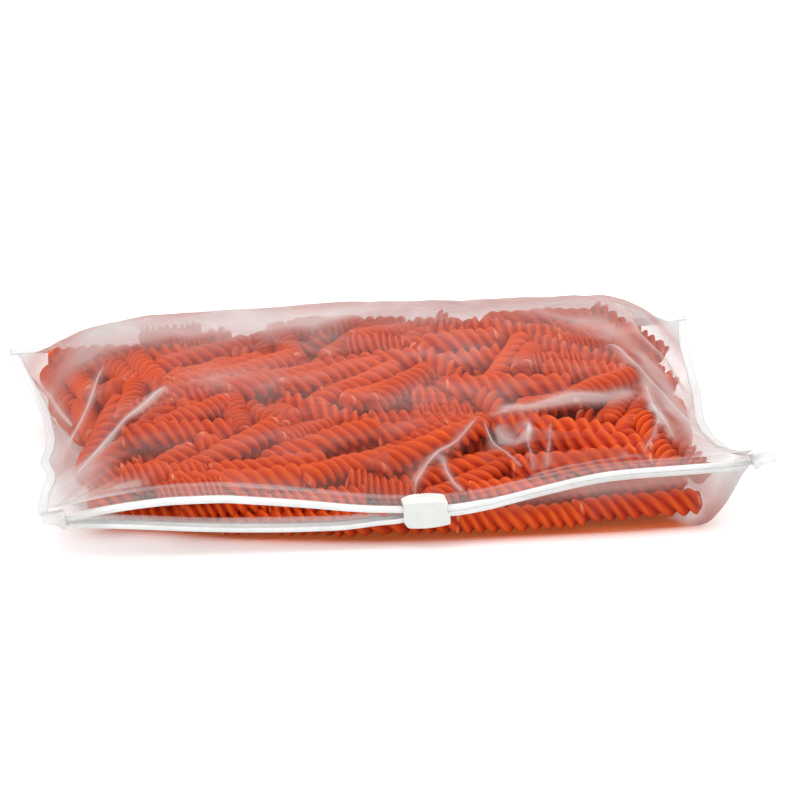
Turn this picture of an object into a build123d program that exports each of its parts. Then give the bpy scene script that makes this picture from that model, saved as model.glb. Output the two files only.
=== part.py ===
"""Slider zipper bag lying on its back, filled out like a pillow, with its mouth partly open.

The mouth runs along X at the front (-Y), the rear seal closes the bag at +Y, and +Z is up.
The origin is the middle of the flat underside that the bag lies on.  All sizes are in mm.
"""
from build123d import *
import math
import os

os.makedirs("parts", exist_ok=True)

# ---------------------------------------------------------------- driving dimensions
# bag body
BAG_WIDTH = 268.0           # along the mouth, over both side seals
BAG_DEPTH = 178.0           # front edge of the film to the rear edge, filled
FILL_HEIGHT = 50.0          # floor to the crown of the upper film
FILM = 0.4                  # wall of the film
SIDE_SEAL = 5.0             # width of the welded band at each side
REAR_SEAL = 6.0             # width of the welded band at the rear
REAR_CORNER = 2.0           # radius of its corners
LEFT_PINCH = 10.0           # how far the left side draws in when the bag fills
RIGHT_PINCH = 15.0          # the same at the right side
REAR_SEAM_Z = 24.0          # height of the rear seal
LAP = 2.5                   # film welded flat over the flange of a track
WELD_BEAD = 0.25            # bead between the film and the flange

# mouth line, which is also the line that the slider runs on
SLIDER_X = 5.0              # where the slider stands
SLIDER_Z = 13.5             # height of the mouth line at the slider
SLIDE_TILT = 2.2            # degrees that the slider's line climbs towards +X
LEFT_LIP_Z = 14.5           # height of the mouth line at its left end
RIGHT_LIP_Z = 28.0          # and at its right end
KINK_AHEAD = 12.0           # closed zipper that stays straight past the slider's middle
CREST = (70.0, 26.3)        # x and z where the closed zipper has climbed over the contents
SPLIT_AHEAD = 3.0           # where the tracks part, past the slider's middle
EXIT_SPREAD = 1.3           # half the parting at the slider's open end
FLARE_RUN = 8.6             # straight run of each lip outside the slider
FLARE_ANGLE = 8.0           # degrees that a lip leaves the mouth line by
LEFT_SPREAD = 0.9           # half the parting where the lips meet the left end weld
KINK_RADIUS = 20.0
SPLIT_RADIUS = 12.0
EXIT_RADIUS = 60.0

# zipper profile: u runs from the mouth edge into the bag, v is the height over the mouth line
PROFILE_HALF = 1.6          # mouth line to the outer face of a closed track
WEB = 0.6                   # plate that carries the ribs
FLANGE_WEB = 0.4            # thinner plate that the film is welded to
FLANGE_REACH = 12.4         # mouth edge to the flange's free edge
RIB_AT = (3.2, 5.6)         # middles of the two interlocking ribs
STEM = 0.5                  # width of a male rib's stem
HEAD = 1.1                  # width of a male rib's arrow head
HEAD_TOP = -0.3             # height of the head's shoulder
HEAD_TIP = -0.8             # height of the head's point
HOOK_WALL = 0.42            # wall of a female hook
HOOK_TOP = 0.3              # height of the hook's tip
HOOK_FIT = 0.08             # play between head and hooks
HOOK_LEAD = 0.15            # slope on the hook's tip
RIDGE_FROM = 6.1            # outer ridge that the slider's shoulders catch
RIDGE_WIDTH = 0.9
RIDGE_RISE = 0.45

# slider
SLIDER_LENGTH = 16.8
LEG_WALL = 0.95             # wall of the legs over the channel
BRIDGE = 1.9                # wall of the bridge across the mouth edge
LIP_PLAY = 0.3              # bridge to the mouth edge of the tracks
RIDGE_PLAY = 0.15           # shoulder to the ridge that it catches
LEG_TO_FILM = 1.4           # legs to the film
EXIT_CLEAR = 1.0            # straight track outside the slider's open end
TRACK_PLAY = 0.25           # channel to the tracks
SHOULDER = 1.4              # depth of the inward shoulder at each leg's end
PLOUGH_BACK = 1.0           # plough to the slider's open end
CROWN_BOW = 0.55            # bow of the outer faces of the legs
CLOSED_END_DROP = 0.35      # how much lower each leg is at the closed end
FACET_LENGTH = 3.2          # slanted facet of the bridge at the open end
FACET_DEPTH = 1.2
CUT_RUN = 1.3               # cut lower corner at the open end, along the slider
CUT_RISE = 1.8              # and upwards
NOSE_BACK = 0.7             # how much shorter the upper leg is at the closed end
WAIST_BACK = 1.1            # notch between the upper leg and the foot at the closed end
WAIST_AT = 0.7              # height of the notch over the slider's line
FOOT_TOP = -0.4             # height at which the foot has its full length
BOW_AT = -1.0               # place along the slider where its legs are highest
HEEL_RUN = 6.4              # rounded rear corner of the legs at the open end
HEEL_RADIUS = 8.4
TOE_CUT = 1.7               # cut rear corner of the legs at the closed end
GRIP_GROOVES = 8            # grooves across each leg for the fingers
GRIP_PITCH = 1.2
GRIP_RADIUS = 0.35
GRIP_DEPTH = 0.22
GRIP_LENGTH = 6.0           # from the rear edge of the legs
GRIP_MIDDLE = 2.0           # place along the slider
SLIDER_EDGE = 0.3           # rounding of the front edges above and below
CUT_PAST = 1.0              # how far a cut runs past what it cuts

# end welds, where the zipper is pressed flat
END_WELD = 8.0              # length of each weld along the mouth
STOP_LENGTH = 2.0           # raised stop at the inner end of the weld
STOP_PROUD = 0.25           # stop over the slider's channel
WELD_EDGE_HALF = 0.6        # half the thickness at the outer corner
END_TRIM = 1.0              # length of track that is cut off square at each end

# ---------------------------------------------------------------- places worked out from them
HALF_WIDTH = BAG_WIDTH / 2
TRACK_END_X = HALF_WIDTH - END_WELD
CHANNEL_REACH = RIDGE_FROM + RIDGE_WIDTH + RIDGE_PLAY
LEG_REACH = CHANNEL_REACH + SHOULDER
FILM_START = LEG_REACH + LEG_TO_FILM
LIP_Y = -BAG_DEPTH / 2 - FILM_START / 2
FILM_FRONT_Y = LIP_Y + FILM_START
REAR_EDGE_Y = FILM_FRONT_Y + BAG_DEPTH
REAR_SEAM_Y = REAR_EDGE_Y - REAR_SEAL
LAP_END_Y = FILM_FRONT_Y + LAP
EXIT_BACK = SLIDER_LENGTH / 2 + EXIT_CLEAR
RIDGE_HALF = PROFILE_HALF + RIDGE_RISE
TILT = math.radians(SLIDE_TILT)
AXIS = Vector(math.cos(TILT), 0, math.sin(TILT))


def line_z(x):
    """Height of the slider's straight line at x."""
    return SLIDER_Z + (x - SLIDER_X) * math.tan(TILT)


# ---------------------------------------------------------------- the two lips' routes
# A lip is described by its corner points (x, z).  side is +1 for the upper lip and -1 for the lower.
def lip_corners(side):
    exit_x = SLIDER_X - EXIT_BACK
    flare_x = exit_x - FLARE_RUN
    flare_rise = EXIT_SPREAD + FLARE_RUN * math.tan(math.radians(FLARE_ANGLE))
    left_x = -TRACK_END_X - END_TRIM
    kink_x = SLIDER_X + KINK_AHEAD
    split_x = SLIDER_X + SPLIT_AHEAD
    return {
        "left": (left_x, LEFT_LIP_Z + side * LEFT_SPREAD),
        "flare": (flare_x, line_z(flare_x) + side * flare_rise),
        "exit": (exit_x, line_z(exit_x) + side * EXIT_SPREAD),
        "split": (split_x, line_z(split_x)),
        "kink": (kink_x, line_z(kink_x)),
        "crest": CREST,
        "right": (TRACK_END_X + END_TRIM, RIGHT_LIP_Z),
    }


def lip_route(side):
    """The lip's line from its right end to its left end, on the plane of the mouth edge."""
    at = lip_corners(side)
    with BuildLine(Plane.XZ.offset(-LIP_Y)) as route:
        run = FilletPolyline(
            at["right"], at["crest"], at["kink"], at["split"], at["exit"], at["flare"],
            radius=(KINK_RADIUS, KINK_RADIUS, SPLIT_RADIUS, EXIT_RADIUS),
        )
        TangentArc(at["flare"], at["left"], tangent=run % 1)
    return route.wire()


def bow_middle(side):
    """The highest or lowest point (x, z) of the open lip's bow."""
    at = lip_corners(side)
    last = Vector(*at["flare"]) - Vector(*at["exit"])
    with BuildLine(mode=Mode.PRIVATE) as bow:
        TangentArc(at["flare"], at["left"], tangent=(last.X, last.Y))
    middle = bow.line @ 0.5
    return middle.X, middle.Y


# ---------------------------------------------------------------- film panels
# Each panel is lofted from the mouth to the rear through bent strips.  A strip has these points,
# from left to right: how full the film is there, from 0 on the seam to 1 on the crown.
CROWN_FULLNESS = (0.0, 0.90, 0.985, 1.0, 1.0, 1.0, 1.0, 0.98, 0.88, 0.0)
FLOOR_FULLNESS = (0.0, 1.0, 1.0, 1.0, 1.0, 1.0, 1.0, 1.0, 1.0, 0.0)
CROWN_RUNS = (20.0, 24.0)   # width of the rounded side at the left and at the right
FLOOR_RUNS = (14.0, 26.0)   # the same under the bag
SIDE_GROWTH = 6.0           # how fast the rounded side widens with t away from the ends
SIDE_AT_REAR = 0.4          # share of its width that it keeps at the rear seam
SIDE_STEEP = 2.4            # slope of the film where it leaves the side seal, over its mean slope
SIDE_FLAT = 0.25            # and where it reaches the crown or the floor
SIDE_LEAD = 0.5             # how far the side keeps those slopes, as a share of its size
SIDE_CHORDS = 4             # flat strips that the rounded side is made of
CROWN_AT = 0.58             # share of the way to the rear where the film is highest
FRONT_POWER = 2.0           # roundness of the crown towards the mouth
REAR_POWER = 4.0            # and towards the rear
FLOOR_FRONT = 0.09          # share of the depth in which the floor is reached behind the mouth
FLOOR_REAR = 0.08           # and before the rear seam
STATIONS = (0.0, 0.03, 0.1, 0.25, 0.5, 0.78, 0.92, 0.97, 1.0)
STRAIGHT = 0.02             # an arc flatter than this is drawn as a line


def mix(a, b, share):
    return a + (b - a) * share


def stations():
    """Places (y, t) of the strips: t is 0 over the lap on the track and 1 at the rear seam."""
    return [(FILM_FRONT_Y, 0.0)] + [(mix(LAP_END_Y, REAR_SEAM_Y, t), t) for t in STATIONS]


def crown_rise(t):
    """Share of the full height that the crown has at t, from 0 at the mouth to 1 at the rear."""
    if t < CROWN_AT:
        return (1 - (1 - t / CROWN_AT) ** FRONT_POWER) ** (1 / FRONT_POWER)
    return (1 - ((t - CROWN_AT) / (1 - CROWN_AT)) ** REAR_POWER) ** (1 / REAR_POWER)


def floor_drop(t):
    """Share of the way down to the floor that the lower film has made at t."""
    near = min(t / FLOOR_FRONT, (1 - t) / FLOOR_REAR, 1.0)
    return math.sqrt(max(0.0, 1 - (1 - near) ** 2))


def pinch(t):
    """Share of the side's full draw-in at t."""
    return math.sin(math.pi * t) ** 0.8 if 0 < t < 1 else 0.0


def side_line(end, t):
    """Inner edge of the side seal at t.  end is -1 for the left side and 1 for the right."""
    draw_in = LEFT_PINCH if end < 0 else RIGHT_PINCH
    return end * (HALF_WIDTH - SIDE_SEAL - draw_in * pinch(t))


def strip_xs(side, t):
    """The strip's points along X."""
    at = lip_corners(side)
    filled = min(1.0, SIDE_GROWTH * t, SIDE_GROWTH * (1 - t) + SIDE_AT_REAR)
    left_run, right_run = (
        mix(END_WELD - SIDE_SEAL, run, filled) for run in (CROWN_RUNS if side > 0 else FLOOR_RUNS)
    )
    left, right = side_line(-1, t) + left_run, side_line(1, t) - right_run
    flare, out, split, kink, crest = (
        at[k][0] for k in ("flare", "exit", "split", "kink", "crest")
    )
    return (
        side_line(-1, t), left, mix(left, flare, 0.5), flare, out, split, kink, crest, right,
        side_line(1, t),
    )


def strip_base_zs(side, t):
    """Heights of the unfilled film: the lip at the mouth, the rear seam at the rear."""
    at = lip_corners(side)
    lip = (
        at["left"][1], bow_middle(side)[1], at["flare"][1], at["exit"][1], at["split"][1],
        at["kink"][1], at["crest"][1], at["right"][1],
    )
    on_track = tuple(z + side * (PROFILE_HALF + WELD_BEAD) for z in lip)
    across = (LEFT_LIP_Z,) + on_track + (RIGHT_LIP_Z,)
    return tuple(mix(z, REAR_SEAM_Z, t) for z in across)


def strip_points(side, t):
    """Inner and outer points (x, z) of a panel's strip at t."""
    lift = crown_rise(t) if side > 0 else floor_drop(t)
    target = FILL_HEIGHT - FILM if side > 0 else FILM
    fullness = CROWN_FULLNESS if side > 0 else FLOOR_FULLNESS
    xs = strip_xs(side, t)
    bases = strip_base_zs(side, t)
    inner = [(x, z + full * lift * (target - z)) for x, z, full in zip(xs, bases, fullness)]
    outer = [(x, z + side * FILM) for x, z in inner]
    for i, out in ((1, -1), (-2, 1)):
        outer[i] = (outer[i][0] + out * FILM * lift, outer[i][1])
    for i, out in ((0, 1), (-1, -1)):
        inner[i] = (inner[i][0] + out * FILM, inner[i][1])
    return inner, outer


def side_bend(seam, shoulder):
    """Chords of the rounded side, which is steep at the seam and nearly flat at the shoulder."""
    run, rise = shoulder.X - seam.X, shoulder.Z - seam.Z
    leaving = seam + Vector(run * SIDE_LEAD / SIDE_STEEP, 0, rise * SIDE_LEAD)
    arriving = shoulder - Vector(run * SIDE_LEAD, 0, rise * SIDE_LEAD * SIDE_FLAT)
    curve = Bezier(seam, leaving, arriving, shoulder)
    knots = [curve @ (i / SIDE_CHORDS) for i in range(SIDE_CHORDS + 1)]
    return [Line(a, b) for a, b in zip(knots, knots[1:])]


def bend(start, middle, end):
    """A circular arc through three points, or a line where they lie on one."""
    off_line = (middle - start).cross(end - start).length / (end - start).length
    return Line(start, end) if off_line < STRAIGHT else ThreePointArc(start, middle, end)


def strip_outline(points):
    """One face of the film: two rounded sides, with arcs and short lines between them."""
    middle = [Line(a, b) for a, b in zip(points[3:8], points[4:9])]
    rounded = side_bend(points[0], points[1]) + side_bend(points[9], points[8])
    return rounded + [bend(*points[1:4])] + middle


def film_strip(side, y, t):
    """The section of a panel at y: both faces of the film and its two free ends."""
    inner, outer = [[Vector(x, y, z) for x, z in face] for face in strip_points(side, t)]
    ends = [Line(inner[-1], outer[-1]), Line(inner[0], outer[0])]
    return Face(Wire(strip_outline(inner) + strip_outline(outer) + ends))


def film_panel(side):
    """The upper (side 1) or lower (side -1) film, from its lap on the track to the rear seam."""
    with BuildPart() as panel:
        loft([film_strip(side, y, t) for y, t in stations()], ruled=True)
    return panel


# ---------------------------------------------------------------- welded seams of the body
def side_seal(end):
    """The welded band along one side, from the end weld to the rear edge.  end is -1 or 1."""
    with BuildPart() as seal:
        for y, t in stations():
            x = side_line(end, t)
            z = strip_base_zs(1, t)[0 if end < 0 else -1]
            with BuildSketch(Plane.XZ.offset(-y)):
                with Locations((x + end * SIDE_SEAL / 2, z)):
                    Rectangle(SIDE_SEAL, 2 * FILM)
        loft(ruled=True)
    return seal


def rear_seal():
    """The welded band that closes the bag at the rear, with rounded corners."""
    with BuildPart() as seal:
        with BuildSketch(Plane.XY.offset(REAR_SEAM_Z - FILM)):
            with Locations((0, REAR_EDGE_Y - REAR_SEAL / 2)):
                Rectangle(BAG_WIDTH, REAR_SEAL)
        extrude(amount=2 * FILM)
        rear_corners = seal.edges().filter_by(Axis.Z).group_by(Axis.Y)[-1]
        fillet(rear_corners, radius=REAR_CORNER)
    return seal


# ---------------------------------------------------------------- zipper tracks
def male_rib(u):
    """A stem with an arrow head that points down from the upper web."""
    root = PROFILE_HALF - WEB / 2
    half_stem, half_head = STEM / 2, HEAD / 2
    with BuildSketch() as rib:
        with BuildLine():
            Polyline(
                (u - half_stem, root), (u - half_stem, HEAD_TOP), (u - half_head, HEAD_TOP),
                (u, HEAD_TIP), (u + half_head, HEAD_TOP), (u + half_stem, HEAD_TOP),
                (u + half_stem, root), close=True,
            )
        make_face()
    return rib.sketch


def female_hook(u, facing):
    """One hook of a pair on the lower web.  facing is 1 for the hook on the -u side."""
    root = WEB / 2 - PROFILE_HALF
    inner = HEAD / 2 + HOOK_FIT
    barb = STEM / 2 + HOOK_FIT
    under = HEAD_TOP + HOOK_FIT
    shoulder = HOOK_TOP - HOOK_LEAD
    back = inner + HOOK_WALL
    with BuildSketch() as hook:
        with BuildLine():
            Polyline(
                (u - facing * inner, root), (u - facing * inner, under),
                (u - facing * barb, under), (u - facing * barb, shoulder),
                (u - facing * inner, HOOK_TOP), (u - facing * back, shoulder),
                (u - facing * back, root), close=True,
            )
        make_face()
    return hook.sketch


def track_plate(side):
    """Web, flange and outer ridge of a track, in u and v."""
    face = side * PROFILE_HALF
    web_in = side * (PROFILE_HALF - WEB)
    flange_in = side * (PROFILE_HALF - FLANGE_WEB)
    ridge = side * RIDGE_HALF
    ridge_end = RIDGE_FROM + RIDGE_WIDTH
    with BuildSketch() as plate:
        with BuildLine():
            Polyline(
                (0, web_in), (ridge_end, web_in), (ridge_end + WEB, flange_in),
                (FLANGE_REACH, flange_in), (FLANGE_REACH, face), (ridge_end, face),
                (ridge_end, ridge), (ridge_end - RIDGE_RISE, ridge), (RIDGE_FROM, face),
                (0, face), close=True,
            )
        make_face()
    return plate.sketch


def track(side):
    """A zipper track swept along its lip: the upper one has the heads, the lower one the hooks."""
    route = lip_route(side)
    start = Plane(origin=route @ 0, x_dir=(0, 1, 0), z_dir=-(route % 0))
    with BuildPart() as piece:
        with BuildSketch(start):
            add(track_plate(side))
            for u in RIB_AT:
                if side > 0:
                    add(male_rib(u))
                else:
                    add(female_hook(u, 1))
                    add(female_hook(u, -1))
        sweep(path=route)
        split(bisect_by=Plane.YZ.offset(TRACK_END_X), keep=Keep.BOTTOM)
        split(bisect_by=Plane.YZ.offset(-TRACK_END_X), keep=Keep.TOP)
    return piece


# ---------------------------------------------------------------- slider
def slider_plane(along):
    """Plane across the slider's line, `along` mm from its middle: local x is u, local y is v."""
    middle = Vector(SLIDER_X, LIP_Y, SLIDER_Z)
    return Plane(origin=middle + AXIS * along, x_dir=(0, 1, 0), z_dir=AXIS)


def spread(along):
    """Half the parting of the tracks inside the slider."""
    slope = EXIT_SPREAD / (EXIT_BACK + SPLIT_AHEAD)
    return max(0.0, (SPLIT_AHEAD - along) * slope)


def channel(along):
    """Room for both tracks, with the shoulders that catch their ridges."""
    wide = RIDGE_HALF + TRACK_PLAY + spread(along)
    tight = PROFILE_HALF + TRACK_PLAY + spread(along)
    past = LEG_REACH + CUT_PAST
    with BuildSketch(slider_plane(along)) as cut:
        with BuildLine():
            Polyline(
                (-LIP_PLAY, -wide), (CHANNEL_REACH, -wide), (CHANNEL_REACH, -tight),
                (past, -tight), (past, tight), (CHANNEL_REACH, tight), (CHANNEL_REACH, wide),
                (-LIP_PLAY, wide), close=True,
            )
        make_face()
    return cut.sketch


def plough_section(along):
    """The plough that holds the webs apart between the mouth edge and the first rib."""
    tip = RIB_AT[0] - HEAD / 2 - HOOK_WALL - HOOK_FIT - TRACK_PLAY
    root = -LIP_PLAY - BRIDGE / 2
    half = PROFILE_HALF - WEB - TRACK_PLAY + spread(along)
    with BuildSketch(slider_plane(along)) as section:
        with Locations(((tip + root) / 2, 0)):
            Rectangle(tip - root, 2 * half)
    return section.sketch


def slider_outline(open_half, closed_half):
    """The slider seen from in front: bowed top and bottom, a cut corner, and a foot at the closed end."""
    half = SLIDER_LENGTH / 2
    with BuildLine() as outline:
        top = ThreePointArc(
            (-half, open_half), (BOW_AT, open_half + CROWN_BOW), (half - NOSE_BACK, closed_half)
        )
        low = ThreePointArc(
            (CUT_RUN - half, -open_half), (BOW_AT, -open_half - CROWN_BOW), (half, -closed_half)
        )
        Polyline(top @ 0, (-half, CUT_RISE - open_half), low @ 0)
        Polyline(top @ 1, (half - WAIST_BACK, WAIST_AT), (half, FOOT_TOP), low @ 1)
    return outline.line


def slider_plan():
    """The slider seen from above: a rounded heel at the open end and a cut toe at the closed end."""
    half = SLIDER_LENGTH / 2
    front = -LIP_PLAY - BRIDGE - CUT_PAST
    heel = LEG_REACH - HEEL_RADIUS + math.sqrt(HEEL_RADIUS ** 2 - HEEL_RUN ** 2)
    with BuildLine() as plan:
        Polyline(
            (-half, heel), (-half, front), (half, front), (half, LEG_REACH - TOE_CUT),
            (half - TOE_CUT, LEG_REACH), (HEEL_RUN - half, LEG_REACH),
        )
        RadiusArc((-half, heel), (HEEL_RUN - half, LEG_REACH), HEEL_RADIUS)
    return plan.line


def grip_places(height):
    """Middles of the finger grooves along a leg whose crown is at this height."""
    first = GRIP_MIDDLE - GRIP_PITCH * (GRIP_GROOVES - 1) / 2
    return [(first + i * GRIP_PITCH, height) for i in range(GRIP_GROOVES)]


def slider():
    """One moulding: bridge over the mouth edge, two legs, and the plough that parts the tracks."""
    half = SLIDER_LENGTH / 2
    open_half = RIDGE_HALF + TRACK_PLAY + spread(-half) + LEG_WALL
    closed_half = open_half - CLOSED_END_DROP
    grip = open_half + CROWN_BOW - GRIP_DEPTH + GRIP_RADIUS
    middle = (SLIDER_X, LIP_Y, SLIDER_Z)
    front = Plane(origin=middle, x_dir=AXIS, z_dir=(0, -1, 0))
    above = Plane(origin=middle, x_dir=AXIS, z_dir=(-AXIS.Z, 0, AXIS.X))
    tall = open_half + CROWN_BOW + CUT_PAST
    with BuildPart() as body:
        with BuildSketch(front.offset(BRIDGE + LIP_PLAY)):
            add(slider_outline(open_half, closed_half))
            make_face()
        extrude(amount=-(BRIDGE + LIP_PLAY + LEG_REACH))
        face = body.faces().sort_by(Axis.Y)[0]
        open_edge = face.edges().sort_by(Axis.X)[0]
        chamfer(open_edge, length=FACET_LENGTH, length2=FACET_DEPTH, reference=face)
        bows = body.edges().filter_by(GeomType.CIRCLE).group_by(Axis.Y)
        fillet(bows[0], radius=SLIDER_EDGE)
        with BuildSketch(above.offset(-tall)):
            add(slider_plan())
            make_face()
        extrude(amount=2 * tall, mode=Mode.INTERSECT)
        with BuildSketch(front.offset(-LEG_REACH)):
            with Locations(*grip_places(grip), *grip_places(-grip)):
                Circle(GRIP_RADIUS)
        extrude(amount=GRIP_LENGTH, mode=Mode.SUBTRACT)
        loft([channel(-half - CUT_PAST), channel(SPLIT_AHEAD)], ruled=True, mode=Mode.SUBTRACT)
        extrude(channel(SPLIT_AHEAD), amount=SLIDER_LENGTH / 2, mode=Mode.SUBTRACT)
        loft([plough_section(PLOUGH_BACK - half), plough_section(SPLIT_AHEAD)], ruled=True)
    return body


# ---------------------------------------------------------------- end welds
def end_weld(end):
    """The pressed end of the zipper: a stop that the slider meets, tapering to the bag's corner."""
    x_in = end * TRACK_END_X
    x_stop = x_in + end * STOP_LENGTH
    x_out = end * HALF_WIDTH
    opening = spread(-SLIDER_LENGTH / 2) if end < 0 else 0.0
    stop_half = RIDGE_HALF + TRACK_PLAY + opening + STOP_PROUD
    body_half = stop_half - STOP_PROUD - TRACK_PLAY - RIDGE_RISE
    z = LEFT_LIP_Z if end < 0 else RIGHT_LIP_Z
    with BuildPart() as weld:
        with BuildSketch(Plane.XZ.offset(-LIP_Y)):
            with BuildLine():
                Polyline(
                    (x_in, z - stop_half), (x_in, z + stop_half),
                    (x_stop, z + stop_half), (x_stop, z + body_half),
                    (x_out, z + WELD_EDGE_HALF), (x_out, z - WELD_EDGE_HALF),
                    (x_stop, z - body_half), (x_stop, z - stop_half), close=True,
                )
            make_face()
        extrude(amount=-FILM_START)
    return weld


# ---------------------------------------------------------------- build and write
PIECES = {
    "upper_film_panel": film_panel(1),
    "lower_film_panel": film_panel(-1),
    "left_side_seal": side_seal(-1),
    "right_side_seal": side_seal(1),
    "rear_seal": rear_seal(),
    "upper_zipper_track": track(1),
    "lower_zipper_track": track(-1),
    "left_end_weld": end_weld(-1),
    "right_end_weld": end_weld(1),
    "slider": slider(),
}

for name, piece in PIECES.items():
    piece.part.label = name
    export_step(piece.part, f"parts/{name}.step")
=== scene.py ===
"""Visual model of a filled slider-zip storage bag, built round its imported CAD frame.

All sizes below are in millimetres unless a name says otherwise, and meshes are written in metres.
X runs along the mouth to its closed end, Y from the mouth to the rear seam, and Z up from the table.
"""
import logging
import math
from dataclasses import dataclass, field
from enum import Enum
from typing import Sequence

import bpy
import numpy as np
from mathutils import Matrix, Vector


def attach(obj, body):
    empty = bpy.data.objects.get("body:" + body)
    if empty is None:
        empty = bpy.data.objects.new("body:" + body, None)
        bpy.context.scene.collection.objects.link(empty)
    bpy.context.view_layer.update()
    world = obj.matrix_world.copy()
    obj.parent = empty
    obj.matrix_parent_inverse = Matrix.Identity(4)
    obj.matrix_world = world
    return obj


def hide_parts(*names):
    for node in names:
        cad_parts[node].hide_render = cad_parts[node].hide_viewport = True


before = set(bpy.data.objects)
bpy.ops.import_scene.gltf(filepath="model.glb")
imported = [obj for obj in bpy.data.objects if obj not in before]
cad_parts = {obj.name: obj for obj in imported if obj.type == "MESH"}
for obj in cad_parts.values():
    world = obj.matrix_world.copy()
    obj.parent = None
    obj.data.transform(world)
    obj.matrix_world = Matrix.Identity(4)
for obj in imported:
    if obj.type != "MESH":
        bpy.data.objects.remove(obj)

LOG = logging.getLogger("bag")
MM = 0.001
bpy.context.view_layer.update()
Array = np.ndarray
Socket = bpy.types.NodeSocket
Line = Sequence[tuple[float, float]]
# Layers of the seeded noise: how much finer and weaker each is than the one before.
FINER = 1.7
WEAKER = 0.6
SENSOR = 36.0


# ------------------------------------------------------------------ small helpers
def smooth_line(points: Line, at: Array) -> Array:
    """Runs a smooth curve through points and reads it.

    Args:
        points: (place, value) pairs, in rising order of place.
        at: The places to read.

    Returns:
        The value at each place.
    """
    xs, ys = (np.array(v, float) for v in zip(*points))
    steps = np.diff(xs)
    slopes = np.diff(ys) / steps
    inner = (slopes[:-1] * steps[1:] + slopes[1:] * steps[:-1]) / (steps[1:] + steps[:-1])
    # Where the line turns back its slope is damped, so that the curve hardly overshoots.
    turns = slopes[:-1] * slopes[1:] <= 0
    inner = np.where(turns, inner * 0.3, inner)
    tangents = np.concatenate([[slopes[0]], inner, [slopes[-1]]])
    at = np.clip(np.asarray(at, float), xs[0], xs[-1])
    i = np.clip(np.searchsorted(xs, at, side="right") - 1, 0, len(xs) - 2)
    h = steps[i]
    u = (at - xs[i]) / h
    return (
        (2 * u**3 - 3 * u**2 + 1) * ys[i]
        + (u**3 - 2 * u**2 + u) * h * tangents[i]
        + (3 * u**2 - 2 * u**3) * ys[i + 1]
        + (u**3 - u**2) * h * tangents[i + 1]
    )


def smoothstep(low: float, high: float, value: Array) -> Array:
    """A soft step from 0 at low to 1 at high."""
    u = np.clip((np.asarray(value, float) - low) / (high - low), 0, 1)
    return u * u * (3 - 2 * u)


def ripple(x: Array, y: Array, seed: int, size: float, layers: int = 4) -> Array:
    """Smooth seeded noise made of crossing waves, each layer finer and weaker than the last.

    Args:
        x: First coordinate.
        y: Second coordinate.
        seed: Picks the pattern.
        size: Rough length of the largest wave.
        layers: How many layers of three waves are summed.

    Returns:
        Values from about -1 to 1.
    """
    draw = np.random.default_rng(seed)
    total = np.zeros_like(x, float)
    weight = 0.0
    for k in range(layers):
        scale = 2 * math.pi / size * FINER**k
        share = WEAKER**k
        for _ in range(3):
            turn, phase = draw.uniform(0, math.pi), draw.uniform(0, 2 * math.pi)
            total += share * np.sin(scale * (x * math.cos(turn) + y * math.sin(turn)) + phase)
        weight += share * 1.8
    return total / weight


def line_distance(points: Array, line: Line) -> tuple[Array, Array]:
    """Distance from points to a line of runs, in plan.

    Args:
        points: (n, 2) places.
        line: Corners of the line.

    Returns:
        The distance, and the share of the line's length at the nearest point.
    """
    corners = np.array(line, float)
    runs = np.linalg.norm(np.diff(corners, axis=0), axis=1)
    starts = np.concatenate([[0], np.cumsum(runs)[:-1]])
    best = np.full(len(points), 1e9)
    share = np.zeros(len(points))
    for a, b, run, start in zip(corners[:-1], corners[1:], runs, starts):
        u = np.clip(((points - a) @ (b - a)) / run**2, 0, 1)
        gap = np.linalg.norm(points - (a + u[:, None] * (b - a)), axis=1)
        near = gap < best
        best = np.where(near, gap, best)
        share = np.where(near, (start + u * run) / runs.sum(), share)
    return best, share


def side_of(points: Array, line: Line) -> Array:
    """Side of a line of runs that each point lies on.

    Args:
        points: (n, 2) places.
        line: Corners of the line.

    Returns:
        1 for points on the left and -1 for those on the right.
    """
    corners = np.array(line, float)
    best = np.full(len(points), 1e9)
    side = np.ones(len(points))
    for a, b in zip(corners[:-1], corners[1:]):
        run = b - a
        u = np.clip(((points - a) @ run) / (run @ run), 0, 1)
        gap = np.linalg.norm(points - (a + u[:, None] * run), axis=1)
        cross = run[0] * (points[:, 1] - a[1]) - run[1] * (points[:, 0] - a[0])
        near = gap < best
        best = np.where(near, gap, best)
        side = np.where(near, np.where(cross < 0, -1, 1), side)
    return side


def put(name: str, data: bpy.types.ID) -> bpy.types.Object:
    """Puts a new object in the scene.

    Args:
        name: Its name.
        data: Its mesh, lamp or camera.

    Returns:
        The object.
    """
    thing = bpy.data.objects.new(name, data)
    bpy.context.scene.collection.objects.link(thing)
    return thing


def grid_mesh(name: str, points: Array, masks: dict[str, Array] | None = None) -> bpy.types.Object:
    """Makes an open sheet from a grid of points.

    Args:
        name: Name of the new object.
        points: (rows, columns, 3) places.
        masks: Values for each point, by attribute name.

    Returns:
        The new object.
    """
    rows, cols, _ = points.shape
    index = np.arange(rows * cols).reshape(rows, cols)
    faces = np.stack(
        [index[:-1, :-1], index[:-1, 1:], index[1:, 1:], index[1:, :-1]], axis=-1
    ).reshape(-1, 4)
    return raw_mesh(name, points.reshape(-1, 3), faces.tolist(), masks)


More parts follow.
